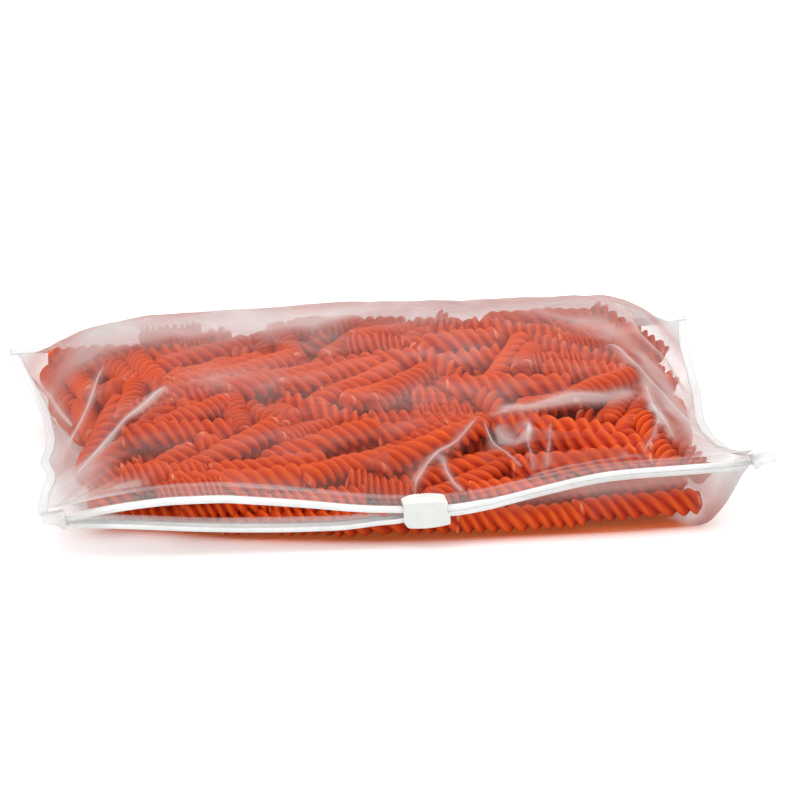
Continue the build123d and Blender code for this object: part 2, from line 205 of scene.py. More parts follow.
def raw_mesh(
    name: str, points: Array, faces: Sequence[Sequence[int]], masks: dict[str, Array] | None = None
) -> bpy.types.Object:
    """Makes a smooth-shaded mesh object from points in millimetres.

    Args:
        name: Name of the new object.
        points: (n, 3) places.
        faces: Corners of each face.
        masks: Values for each point, by attribute name.

    Returns:
        The new object.
    """
    mesh = bpy.data.meshes.new(name)
    mesh.from_pydata((np.asarray(points, float) * MM).tolist(), [], faces)
    for key, values in (masks or {}).items():
        mesh.attributes.new(key, "FLOAT", "POINT").data.foreach_set(
            "value", np.asarray(values, np.float32).ravel()
        )
    mesh.polygons.foreach_set("use_smooth", [True] * len(mesh.polygons))
    mesh.update()
    return put(name, mesh)


def swept_mesh(name: str, rings: Array, masks: dict[str, Array] | None = None) -> bpy.types.Object:
    """Makes a closed tube from rings of points, with flat ends.

    Args:
        name: Name of the new object.
        rings: (rings, points in a ring, 3) places.
        masks: Values for each point, by attribute name.

    Returns:
        The new object.
    """
    count, around, _ = rings.shape
    index = np.arange(count * around).reshape(count, around)
    turned = np.roll(index, -1, axis=1)
    faces = np.stack([index[:-1], turned[:-1], turned[1:], index[1:]], axis=-1).reshape(-1, 4).tolist()
    faces.append(index[0][::-1].tolist())
    faces.append(index[-1].tolist())
    return raw_mesh(name, rings.reshape(-1, 3), faces, masks)


def seat(piece: bpy.types.Object, node: str, finish: bpy.types.Material) -> None:
    """Gives a piece its material, and its place on the bag.

    Args:
        piece: The piece.
        node: The CAD node that it stands for.
        finish: Its material.
    """
    piece.data.materials.append(finish)
    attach(piece, "bag")
    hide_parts(node)
    LOG.info("%s: %d points", piece.name, len(piece.data.vertices))


# ------------------------------------------------------------------ materials
class Nodes:
    """Adds and links nodes in one tree."""

    def __init__(self, tree: bpy.types.NodeTree) -> None:
        """Keeps the tree."""
        self.tree = tree

    def add(self, kind: str, **values: object) -> bpy.types.Node:
        """Adds a node.

        Args:
            kind: Blender's name of the node type.
            values: Properties by name, or inputs by name with _ for a space.

        Returns:
            The node.
        """
        node = self.tree.nodes.new(kind)
        for key, value in values.items():
            if hasattr(node, key):
                setattr(node, key, value)
            else:
                node.inputs[key.replace("_", " ")].default_value = value
        return node

    def link(self, source: Socket, target: Socket) -> None:
        """Links two sockets."""
        self.tree.links.new(source, target)

    def feed(self, inputs: Sequence[Socket], values: Sequence[object]) -> None:
        """Gives each input a socket to read, or a fixed value.

        Args:
            inputs: The inputs.
            values: A socket or a value for each.
        """
        for socket, value in zip(inputs, values):
            if isinstance(value, Socket):
                self.link(value, socket)
            else:
                socket.default_value = value

    def math(self, how: str, first: object, second: object = 0.0, clamp: bool = False) -> Socket:
        """Adds a Math node.

        Args:
            how: The operation.
            first: A socket or a number.
            second: A socket or a number.
            clamp: Whether the result is kept from 0 to 1.

        Returns:
            The result's socket.
        """
        node = self.add("ShaderNodeMath", operation=how, use_clamp=clamp)
        self.feed(node.inputs, (first, second))
        return node.outputs[0]

    def ranged(self, value: Socket, low: float, high: float, to_low: float, to_high: float) -> Socket:
        """Maps a value from one range to another.

        Args:
            value: The socket to read.
            low: Start of its range.
            high: End of its range.
            to_low: Result at the start.
            to_high: Result at the end.

        Returns:
            The result's socket.
        """
        node = self.add("ShaderNodeMapRange", From_Min=low, From_Max=high, To_Min=to_low, To_Max=to_high)
        self.link(value, node.inputs["Value"])
        return node.outputs[0]

    def mix(self, share: Socket, first: Sequence[float], second: Sequence[float] | Socket) -> Socket:
        """Blends two colours.

        Args:
            share: How much of the second colour is used.
            first: The first colour.
            second: The second colour, or its socket.

        Returns:
            The result's socket.
        """
        node = self.add("ShaderNodeMix", data_type="RGBA")
        inputs = [s for s in node.inputs if s.type == "RGBA"]
        self.link(share, node.inputs["Factor"])
        self.feed(inputs, [c if isinstance(c, Socket) else (*c, 1) for c in (first, second)])
        return next(s for s in node.outputs if s.type == "RGBA")

    def ramp(self, level: Socket, *stops: tuple[float, float, float, float]) -> Socket:
        """Turns a level into a colour between two stops.

        Args:
            level: The socket to read.
            stops: The level and the colour of each stop.

        Returns:
            The colour's socket.
        """
        node = self.add("ShaderNodeValToRGB")
        for element, (position, *color) in zip(node.color_ramp.elements, stops):
            element.position = position
            element.color = (*color, 1)
        self.link(level, node.inputs["Fac"])
        return node.outputs["Color"]

    def place(self) -> Socket:
        """The place on the object."""
        return self.add("ShaderNodeTexCoord").outputs["Object"]

    def drawn(self, name: str) -> Socket:
        """A value that the mesh carries by name."""
        return self.add("ShaderNodeAttribute", attribute_name=name).outputs["Fac"]

    def noise(self, place: Socket, **values: float) -> Socket:
        """Adds a noise texture.

        Args:
            place: Where it is read.
            values: Its inputs, by name.

        Returns:
            The noise's socket.
        """
        node = self.add("ShaderNodeTexNoise", **values)
        self.link(place, node.inputs["Vector"])
        return node.outputs["Fac"]

    def bump(self, shader: bpy.types.Node, height: Socket, strength: float, distance: float) -> None:
        """Gives a shader a bumped surface.

        Args:
            shader: The shader.
            height: The height's socket.
            strength: How strongly it shows.
            distance: Depth of the relief, in metres.
        """
        node = self.add("ShaderNodeBump", Strength=strength, Distance=distance)
        self.link(height, node.inputs["Height"])
        self.link(node.outputs["Normal"], shader.inputs["Normal"])


def new_group(
    name: str, inputs: dict[str, float], outputs: Sequence[str]
) -> tuple[bpy.types.NodeTree, Nodes, bpy.types.Node, bpy.types.Node]:
    """Starts a shader node group whose sockets are all plain numbers.

    Args:
        name: Name of the group.
        inputs: Default of each input, by name.
        outputs: Name of each output.

    Returns:
        The tree, its helper, and its input and output nodes.
    """
    tree = bpy.data.node_groups.new(name, "ShaderNodeTree")
    number = "NodeSocketFloat"
    for label, default in inputs.items():
        tree.interface.new_socket(label, in_out="INPUT", socket_type=number).default_value = default
    for label in outputs:
        tree.interface.new_socket(label, in_out="OUTPUT", socket_type=number)
    nodes = Nodes(tree)
    return tree, nodes, nodes.add("NodeGroupInput"), nodes.add("NodeGroupOutput")


def soft_wrinkles() -> bpy.types.NodeTree:
    """Makes the height of fine stretched wrinkles and of an orange-peel grain.

    Returns:
        The node group.
    """
    defaults = {"Scale": 60.0, "Stretch": 4.0, "Grain": 0.2}
    tree, n, start, end = new_group("soft_wrinkles", defaults, ["Height"])
    place = n.place()
    stretch = n.add("ShaderNodeCombineXYZ", X=1.0, Z=1.0)
    n.link(n.math("DIVIDE", 1.0, start.outputs["Stretch"]), stretch.inputs["Y"])
    scaled = n.add("ShaderNodeVectorMath", operation="MULTIPLY")
    n.link(place, scaled.inputs[0])
    n.link(stretch.outputs[0], scaled.inputs[1])
    wave = n.add("ShaderNodeTexNoise", Detail=3.0, Roughness=0.45, Distortion=0.6)
    n.link(scaled.outputs[0], wave.inputs["Vector"])
    n.link(start.outputs["Scale"], wave.inputs["Scale"])
    grain = n.noise(place, Scale=1600.0, Detail=2.0)
    fine = n.math("MULTIPLY", grain, start.outputs["Grain"])
    n.link(n.math("ADD", wave.outputs["Fac"], fine), end.inputs["Height"])
    return tree


def cloudy_haze() -> bpy.types.NodeTree:
    """Makes the milkiness of a film, from a drawn mask broken up by soft clouds.

    Returns:
        The node group.
    """
    defaults = {"Mask": 0.5, "Clear": 0.15, "Milky": 0.6, "Clouds": 0.2}
    tree, n, start, end = new_group("cloudy_haze", defaults, ["Alpha", "Roughness"])
    soft = n.noise(n.place(), Scale=38.0, Detail=4.0, Roughness=0.55, Distortion=0.4)
    swing = n.math("MULTIPLY", n.math("SUBTRACT", soft, 0.5), start.outputs["Clouds"])
    milk = n.math("ADD", start.outputs["Mask"], swing, clamp=True)
    span = n.math("SUBTRACT", start.outputs["Milky"], start.outputs["Clear"])
    cover = n.math("MULTIPLY", n.math("POWER", milk, 2.0), span)
    n.link(n.math("ADD", cover, start.outputs["Clear"]), end.inputs["Alpha"])
    n.link(n.ranged(milk, 0.0, 1.0, 0.16, 0.42), end.inputs["Roughness"])
    return tree


def lit_slopes() -> bpy.types.NodeTree:
    """Makes a mask of the slopes that face the main lamp, where a painted sheen whitens the clear film.

    Returns:
        The node group.
    """
    tree, n, start, end = new_group("lit_slopes", {"Width": 0.02}, ["Mask"])
    slope = n.add("ShaderNodeNewGeometry")
    # A fixed direction towards the main lamp: the sheen is painted from the normal, not reflected.
    facing = n.add("ShaderNodeVectorMath", operation="DOT_PRODUCT")
    facing.inputs[1].default_value = (-0.16, -0.50, 0.85)
    n.link(slope.outputs["Normal"], facing.inputs[0])
    off = n.math("SUBTRACT", 1.0, n.math("ABSOLUTE", facing.outputs["Value"]))
    painted_sheen_mask = n.math("SUBTRACT", 1.0, n.math("DIVIDE", off, start.outputs["Width"]), clamp=True)
    n.link(painted_sheen_mask, end.inputs["Mask"])
    return tree


def new_material(name: str) -> tuple[bpy.types.Material, Nodes, bpy.types.Node]:
    """Starts a material.

    Args:
        name: Its name.

    Returns:
        The material, the helper of its nodes and its shader.
    """
    made = bpy.data.materials.new(name)
    made.use_nodes = True
    return made, Nodes(made.node_tree), made.node_tree.nodes["Principled BSDF"]


@dataclass(frozen=True)
class FilmFinish:
    """Thin frosted film: clear where it clings, milky where it stands away, with painted light on it: an
    orange tint of light from the pasta near it, highlight lines along its folds and a sheen on slopes that
    face the lamp.
    """

    name: str
    color: tuple[float, float, float] = (0.66, 0.66, 0.65)
    # Colour of the painted light from the pasta, blended into the film where it lies near the pasta.
    warm: tuple[float, float, float] = (0.47, 0.072, 0.034)
    clear: float = 0.02
    milky: float = 0.62
    clouds: float = 0.3
    # Width and strength of the painted highlight lines along the folds.
    painted_line_width: float = 0.6
    painted_line_cover: float = 0.75
    rim: float = 0.3
    # Strength of the painted sheen on slopes that face the lamp.
    painted_sheen: float = 0.42
    wrinkle_scale: float = 55.0
    wrinkle_depth: float = 0.00035
    ior: float = 1.6

    def material(
        self, haze: bpy.types.NodeTree, wrinkles: bpy.types.NodeTree, slopes: bpy.types.NodeTree
    ) -> bpy.types.Material:
        """Builds the material.

        Args:
            haze: The cloudy_haze group.
            wrinkles: The soft_wrinkles group.
            slopes: The lit_slopes group.

        Returns:
            The material.
        """
        made, n, shader = new_material(self.name)
        shader.inputs["IOR"].default_value = self.ior
        # The base colour takes a painted orange tint of light from the pasta where the film lies near it.
        n.link(n.mix(n.drawn("warm"), self.color, self.warm), shader.inputs["Base Color"])
        milk = n.add("ShaderNodeGroup", node_tree=haze)
        n.link(n.drawn("haze"), milk.inputs["Mask"])
        for key, value in (("Clear", self.clear), ("Milky", self.milky), ("Clouds", self.clouds)):
            milk.inputs[key].default_value = value
        # Painted highlight lines along the folds.
        line = n.ranged(n.math("ABSOLUTE", n.drawn("fold")), 0.15, self.painted_line_width, 1.0, 0.0)
        bright = n.math("MULTIPLY", n.math("MULTIPLY", line, n.drawn("fold_strength")), self.painted_line_cover)
        edge = n.add("ShaderNodeLayerWeight", Blend=0.25)
        rim = n.math("MULTIPLY", edge.outputs["Facing"], self.rim)
        cover = n.math("ADD", milk.outputs["Alpha"], n.math("MULTIPLY", rim, milk.outputs["Alpha"]))
        # Painted sheen on slopes that face the lamp; the stronger of it and the painted fold lines raises
        # the alpha.
        painted_sheen_mask = n.add("ShaderNodeGroup", node_tree=slopes)
        painted_sheen = n.math("MULTIPLY", painted_sheen_mask.outputs["Mask"], self.painted_sheen)
        n.link(n.math("ADD", cover, n.math("MAXIMUM", bright, painted_sheen), clamp=True), shader.inputs["Alpha"])
        n.link(milk.outputs["Roughness"], shader.inputs["Roughness"])
        creases = n.add("ShaderNodeGroup", node_tree=wrinkles)
        creases.inputs["Scale"].default_value = self.wrinkle_scale
        n.bump(shader, creases.outputs["Height"], 0.8, self.wrinkle_depth)
        return made


@dataclass(frozen=True)
class PlasticFinish:
    """Moulded or extruded white plastic with a faint grain."""

    name: str
    color: tuple[float, float, float] = (0.88, 0.89, 0.88)
    shade: tuple[float, float, float] = (0.8, 0.81, 0.8)
    roughness: float = 0.32
    solid: float = 1.0
    thin: float = 1.0
    grain: float = 0.4
    depth: float = 0.00006

    def material(self, wrinkles: bpy.types.NodeTree) -> bpy.types.Material:
        """Builds the material.

        Args:
            wrinkles: The soft_wrinkles group.

        Returns:
            The material.
        """
        made, n, shader = new_material(self.name)
        cloud = n.noise(n.place(), Scale=140.0, Detail=4.0)
        worn = n.ranged(cloud, 0.35, 0.7, 0.0, 1.0)
        n.link(n.mix(worn, self.color, self.shade), shader.inputs["Base Color"])
        gloss = n.ranged(cloud, 0.3, 0.7, self.roughness - 0.06, self.roughness + 0.08)
        n.link(gloss, shader.inputs["Roughness"])
        if self.solid < 1:
            n.link(n.ranged(n.drawn("haze"), 0.0, 1.0, self.thin, self.solid), shader.inputs["Alpha"])
        fine = n.add("ShaderNodeGroup", node_tree=wrinkles)
        fine.inputs["Scale"].default_value = 220.0
        fine.inputs["Grain"].default_value = self.grain
        n.bump(shader, fine.outputs["Height"], 0.6, self.depth)
        return made


@dataclass(frozen=True)
class PastaFinish:
    """Dry tomato pasta: matt orange-red, with painted shade in its grooves, painted light on its blade
    crests and a painted highlight near each end.
    """

    name: str = "tomato_pasta"
    # Colours of the painted shade in the grooves and the painted light on the blade crests, then of the
    # painted highlight near the ends.
    painted_groove_shade: tuple[float, float, float] = (0.50, 0.024, 0.005)
    bright: tuple[float, float, float] = (0.80, 0.100, 0.008)
    painted_tip_highlight: tuple[float, float, float] = (0.95, 0.50, 0.30)

    def material(self) -> bpy.types.Material:
        """Builds the material.

        Returns:
            The material.
        """
        made, n, shader = new_material(self.name)
        place = n.place()
        info = n.add("ShaderNodeObjectInfo")
        # The blade crests take painted light and the grooves painted shade; the noise spots and the shift
        # per piece are the pasta's own tone.
        high = n.math("MULTIPLY", n.drawn("ridge"), 0.75)
        spots = n.math("MULTIPLY", n.noise(place, Scale=90.0, Detail=5.0), 0.4)
        batch = n.math("MULTIPLY", n.math("SUBTRACT", info.outputs["Random"], 0.5), 0.3)
        level = n.math("ADD", n.math("ADD", high, spots), batch, clamp=True)
        ramp = n.ramp(level, (0.12, *self.painted_groove_shade), (0.95, *self.bright))
        # Near each end the colour turns to the painted highlight.
        n.link(n.mix(n.drawn("tip"), self.painted_tip_highlight, ramp), shader.inputs["Base Color"])
        shader.inputs["Roughness"].default_value = 0.6
        shader.inputs["Specular IOR Level"].default_value = 0.25
        n.bump(shader, n.noise(place, Scale=900.0, Detail=3.0), 0.35, 0.0002)
        return made


# ------------------------------------------------------------------ form of the bag
class Side(Enum):
    """The two films, tracks and lips of the bag."""

    UPPER = 1
    LOWER = -1


class End(Enum):
    """The two ends of the mouth."""

    LEFT = -1
    RIGHT = 1


# Right of the slider both lips have one height and one tilt.
CLOSED_LIP = (
    (8, 13.62), (17, 13.98), (27, 15.5), (38, 18.0), (52, 21.1), (62, 23.1), (70, 24.4), (80, 25.2),
    (95, 25.8), (115, 26.6), (134, 28.0),
)
CLOSED_TILT = ((-5, 0), (14, 0), (30, -3), (60, -6), (90, -6), (115, -4), (134, 0))


@dataclass
class BagForm:
    """Lines that every piece of the bag follows."""

    track_end: float = 126.0
    mouth_y: float = -93.97
    film_from: float = 9.95
    film_edge: float = -84.0
    stiff_to: float = 8.6
    rear_y: float = 88.0
    upper_lip: Line = (
        (-134, 15.3), (-127, 15.6), (-121, 16.6), (-110, 18.3), (-99, 19.6), (-85, 20.5), (-71, 20.5),
        (-57, 19.3), (-38, 17.2), (-19.4, 14.9), (-12, 14.3), (-4.4, 13.95), (1, 13.66), *CLOSED_LIP,
    )
    lower_lip: Line = (
        (-134, 15.1), (-127, 14.6), (-121, 14.7), (-110, 14.2), (-99, 13.4), (-85, 12.2), (-71, 11.2),
        (-57, 10.5), (-38, 10.0), (-25, 10.1), (-12, 11.3), (-4.4, 11.86), (1, 13.1), *CLOSED_LIP,
    )
    upper_tilt: Line = ((-134, 2), (-120, 4), (-100, 5), (-70, 5), (-40, 4), (-15, 1), *CLOSED_TILT)
    upper_flare: Line = (
        (-134, 4), (-110, 20), (-70, 32), (-30, 32), (-5, 28), (14, 26), (40, 26), (70, 18), (100, 12),
        (134, 4),
    )
    lower_tilt: Line = ((-134, 0), (-100, 3), (-60, 4), (-20, 2), *CLOSED_TILT)
    lower_flare: Line = (
        (-134, 4), (-115, 9), (-100, 8), (-72, 6), (-48, 12), (-22, 12), (-6, 0), (14, -22), (40, -34),
        (70, -40), (100, -30), (134, -4),
    )
    left_seam: Sequence[tuple[float, float, float]] = (
        (-94, -132.6, 15.2), (-84, -132, 15.2), (-60, -129.5, 15.2), (-38, -125.6, 15.6),
        (-22, -126.6, 16), (-8, -124, 16.4), (5, -122.6, 17), (30, -122.6, 18), (55, -125, 20),
        (75, -128.4, 23), (94, -131.6, 26.5),
    )
    right_seam: Sequence[tuple[float, float, float]] = (
        (-94, 133, 28.0), (-84, 129.4, 26.8), (-66, 122, 23), (-45, 118.5, 20.5), (-20, 118, 20),
        (10, 121.6, 20), (46, 125.6, 20.4), (70, 127, 24.5), (94, 130.4, 31),
    )
    foot_line: Line = (
        (-134, -56), (-110, -58), (-92, -63), (-66, -74), (-30, -82.5), (14, -87), (52, -86),
        (90, -84), (110, -81), (134, -76),
    )
    rear_line: Line = ((-132, 26), (-100, 25), (-40, 24.5), (40, 25.5), (100, 27), (132, 28.5))
    crown_line: Line = (
        (-134, 33), (-122, 38), (-108, 42), (-90, 44.8), (-70, 46.6), (-40, 48), (0, 48.9), (34, 48.4),
        (70, 48.2), (94, 47.4), (110, 45.4), (122, 41), (134, 33),
    )

    def foot(self, x: Array) -> Array:
        """Front edge of the flat underside at x."""
        return smooth_line(self.foot_line, x)

    def lip(self, side: Side, x: Array) -> Array:
        """Height of a lip's mating face at x."""
        return smooth_line(self.upper_lip if side is Side.UPPER else self.lower_lip, x)

    def on_track(self, side: Side, x: Array, u: Array, v: Array) -> Array:
        """Point of a track.

        Args:
            side: Which track.
            x: Place along the mouth.
            u: Distance from the mouth edge towards the bag.
            v: Height over the mating face, positive away from the other track.

        Returns:
            The points.
        """
        upper = side is Side.UPPER
        tilt = np.radians(smooth_line(self.upper_tilt if upper else self.lower_tilt, x))
        flare = tilt + np.radians(smooth_line(self.upper_flare if upper else self.lower_flare, x))
        near = np.minimum(u, self.stiff_to)
        far = np.maximum(u - self.stiff_to, 0)
        y = near * np.cos(tilt) + far * np.cos(flare) - v * side.value * np.sin(tilt)
        z = near * np.sin(tilt) + far * np.sin(flare) + v * side.value * np.cos(tilt)
        return np.stack([x + 0 * y, self.mouth_y + y, self.lip(side, x) + z], axis=-1)

    def seam(self, end: End, y: Array) -> tuple[Array, Array]:
        """A side seam's inner edge.

        Args:
            end: Which side.
            y: Places along the seam.

        Returns:
            Its X and its height at each place.
        """
        line = self.left_seam if end is End.LEFT else self.right_seam
        places, heights = ([(p[0], p[k]) for p in line] for k in (1, 2))
        return smooth_line(places, y), smooth_line(heights, y)

    def rear_z(self, x: Array) -> Array:
        """Height of the rear seam at x."""
        return smooth_line(self.rear_line, x)

    def crown(self, x: Array) -> Array:
        """Height of the filled film's crown at x."""
        return smooth_line(self.crown_line, x)


@dataclass
class Pasta:
    """One lying piece of pasta."""

    middle: Array
    along: Array
    length: float
    radius: float

    def ends(self) -> tuple[Array, Array]:
        """Both ends of its axis, where its round ends begin."""
        half = self.along * (self.length / 2 - self.radius)
        return self.middle - half, self.middle + half


def film_gap(points: Array, filling: Sequence[Pasta]) -> Array:
    """Distance from each point to the nearest piece of pasta.

    Args:
        points: (n, 3) places.
        filling: The pieces.

    Returns:
        The distances, 0 or less inside a piece.
    """
    best = np.full(len(points), 60.0)
    for piece in filling:
        a, b = piece.ends()
        run = b - a
        u = np.clip(((points - a) @ run) / (run @ run), 0, 1)
        best = np.minimum(best, np.linalg.norm(points - (a + u[:, None] * run), axis=1) - piece.radius)
    return best


# ------------------------------------------------------------------ the films
@dataclass
class Film:
    """Shapes both films."""

    form: BagForm
    across: int = 321
    along: int = 221
    crown_y: float = 58.0
    front_round: tuple[float, float] = (2.1, 0.78)
    rear_round: tuple[float, float] = (3.2, 0.6)
    crowding: float = 0.16
    overhang: float = 6.0
    over_track: float = 1.9
    upper_join: float = 0.05
    lower_join: float = 0.03
    lowest: float = 0.3
    left_fall: Line = ((0, 1), (0.25, 0.60), (0.5, 0.24), (0.75, 0.06), (1, 0))
    right_fall: Line = ((0, 1), (0.25, 0.55), (0.5, 0.20), (0.75, 0.05), (1, 0))
    left_width: float = 30.0
    right_width: float = 26.0
    under_fall: Line = ((0, 1), (0.2, 0.72), (0.5, 0.3), (0.8, 0.05), (1, 0))
    under_left_width: float = 18.0
    under_right_width: float = 20.0
    steeper_by: float = 6.0
    bulge: Line = (
        (-134, 0), (-100, -3), (-60, -2), (-10, 2.6), (20, 4.2), (60, 3.2), (100, 1.5), (134, 0),
    )
    floor_from: float = 0.12
    floor_to: float = 0.88
    floor_z: float = 0.4
    floor_rear: float = 80.0

    def frame_grid(self) -> tuple[Array, Array]:
        """Spreads the points of a film, closer together near its sides.

        Returns:
            The share across and the share along at every point.
        """
        s = np.linspace(0, 1, self.across)
        t = np.linspace(0, 1, self.along)
        s = s - self.crowding * np.sin(2 * math.pi * s) / (2 * math.pi)
        return np.meshgrid(s, t)

    def hem(self, side: Side, s: Array) -> Array:
        """Where a film leaves its track.

        Args:
            side: Which film.
            s: Shares across the film.

        Returns:
            A point for each share.
        """
        reach = self.form.track_end + self.overhang
        u = np.full_like(s, self.form.film_from)
        return self.form.on_track(side, -reach + s * 2 * reach, u, np.full_like(s, self.over_track))

    def slope(self, fall: Line, away: Array, width: float | Array) -> Array:
        """How far a film has left a side seam.

        Args:
            fall: How near it still is to the seam, over shares of the width.
            away: Distances from the seam.
            width: Where it has left the seam.

        Returns:
            0 at the seam to 1 where it is free.
        """
        return 1 - smooth_line(fall, away / width)

    def upper_base(self) -> Array:
        """The upper film before it meets the pasta.

        Returns:
            (along, across, 3) points.
        """
        s, t = self.frame_grid()
        form = self.form
        start = self.hem(Side.UPPER, s)
        y = start[..., 1] + t * (form.rear_y - start[..., 1])
        left, left_z = form.seam(End.LEFT, y)
        right, right_z = form.seam(End.RIGHT, y)
        x = left + s * (right - left)
        rise_from = start[..., 2]
        crown = form.crown(x)
        up = np.clip((y - form.film_edge) / (self.crown_y - form.film_edge), 0, 1)
        swell, blunt = self.front_round
        front = rise_from + (crown - rise_from) * (1 - (1 - up) ** swell) ** blunt
        back = np.clip((y - self.crown_y) / (form.rear_y - self.crown_y), 0, 1)
        swell, blunt = self.rear_round
        rear = form.rear_z(x) + (crown - form.rear_z(x)) * (1 - back**swell) ** blunt
        middle = np.where(y < self.crown_y, front, rear)
        seam_z = np.where(s < 0.5, left_z, right_z)
        full = self.slope(self.left_fall, x - left, self.left_width)
        full = full * self.slope(self.right_fall, right - x, self.right_width)
        z = seam_z + (middle - seam_z) * full
        z = start[..., 2] + (z - start[..., 2]) * smoothstep(0, self.upper_join, t)
        return np.stack([x, y, z], axis=-1)

    def height_at(self, free: Array, x: Array, y: Array) -> Array:
        """Height of the upper film over plan places.

        Args:
            free: The points of the film, from upper_base.
            x: Plan places.
            y: Plan places.

        Returns:
            The height at each place.
        """
        form = self.form
        row = np.clip((y - form.film_edge) / (form.rear_y - form.film_edge), 0, 1) * (self.along - 1)
        left, _ = form.seam(End.LEFT, y)
        right, _ = form.seam(End.RIGHT, y)
        share = np.clip((x - left) / (right - left), 0, 1)
        col = np.clip(np.interp(share, self.frame_grid()[0][0], np.arange(self.across)), 0, self.across - 1)
        return free[row.astype(int), col.astype(int), 2]

    def lower_base(self) -> Array:
        """The lower film: down from the lip, along the table and up to the rear seam.

        Returns:
            (along, across, 3) points.
        """
        s, t = self.frame_grid()
        form = self.form
        start = self.hem(Side.LOWER, s)
        front_x = start[..., 0]
        foot = form.foot(front_x)
        drop = np.clip(t / self.floor_from, 0, 1) * math.pi / 2
        belly = start[..., 1] + (foot - start[..., 1]) * (1 - np.cos(drop))
        belly -= smooth_line(self.bulge, front_x) * np.sin(2 * drop)
        fall = start[..., 2] + (self.floor_z - start[..., 2]) * np.sin(drop)
        run = np.clip((t - self.floor_from) / (self.floor_to - self.floor_from), 0, 1)
        floor_y = foot + (self.floor_rear - foot) * run
        rise = np.clip((t - self.floor_to) / (1 - self.floor_to), 0, 1) * math.pi / 2
        back_y = self.floor_rear + (form.rear_y - self.floor_rear) * np.sin(rise)
        back_z = self.floor_z + (form.rear_z(front_x * 0.98) - self.floor_z) * (1 - np.cos(rise))
        parts = [t < self.floor_from, t < self.floor_to]
        y = np.select(parts, [belly, floor_y], back_y)
        z_mid = np.select(parts, [fall, np.full_like(t, self.floor_z)], back_z)
        left, left_z = form.seam(End.LEFT, y)
        right, right_z = form.seam(End.RIGHT, y)
        x = left + s * (right - left)
        steep = self.steeper_by * smoothstep(-45, 5, y)
        free = self.slope(self.under_fall, x - left, self.under_left_width - steep)
        free = free * self.slope(self.under_fall, right - x, self.under_right_width - steep)
        seam_z = np.where(s < 0.5, left_z, right_z)
        z = seam_z + (z_mid - seam_z) * free
        z = start[..., 2] + (z - start[..., 2]) * smoothstep(0, self.lower_join, t)
        return np.stack([x, y, np.maximum(z, self.lowest)], axis=-1)


# ------------------------------------------------------------------ the filling
# Pieces placed one by one, most of them against the front of the lower film:
# x, y, z, direction in radians, lean and length.
PLACED_PIECES = (
    (85.0, -77.6, 7.6, -0.02, 0.05, 48.0),
    (41.0, -80.6, 6.0, 0.02, 0.01, 48.0),
    (-4.0, -80.4, 5.8, -0.05, 0.0, 46.0),
    (-46.0, -74.0, 5.8, -0.16, 0.0, 44.0),
    (-84.0, -60.5, 5.8, -0.45, 0.0, 40.0),
    (85.0, -69.5, 15.2, -0.05, 0.03, 40.0),
    (46.0, -71.0, 14.0, 0.04, 0.03, 46.0),
    (0.0, -70.5, 5.8, 0.02, 0.0, 46.0),
    (66.0, -62.0, 9.0, -0.04, 0.02, 46.0),
    (22.0, -62.0, 8.5, 0.06, 0.0, 40.0),
    (90.0, -60.0, 8.5, 0.3, 0.0, 28.0),
    (-50.0, -62.0, 14.0, 0.22, 0.02, 44.0),
    (-14.0, -60.0, 13.5, -0.3, 0.0, 42.0),
    (-88.0, -50.0, 13.5, -0.5, 0.0, 40.0),
    (-32.5, -72.5, 13.6, -0.05, 0.03, 36.0),
    (-66.0, -71.0, 12.6, 0.1, 0.05, 34.0),
    (-112.0, 50.0, 9.0, -1.4, 0.0, 44.0),
    (-116.2, 54.0, 19.6, -1.44, -0.08, 42.0),
    (-40.0, -47.0, 13.0, 0.5, 0.0, 40.0),
    (-106.0, 66.0, 20.0, -1.2, -0.05, 40.0),
    (-110.0, 45.0, 26.0, -1.42, 0.0, 40.0),
    (-109.0, 12.0, 20.0, -1.5, 0.0, 40.0),
    (109.0, 58.0, 19.0, -0.9, -0.15, 36.0),
    (106.0, 68.0, 31.0, -0.5, -0.5, 34.0),
)


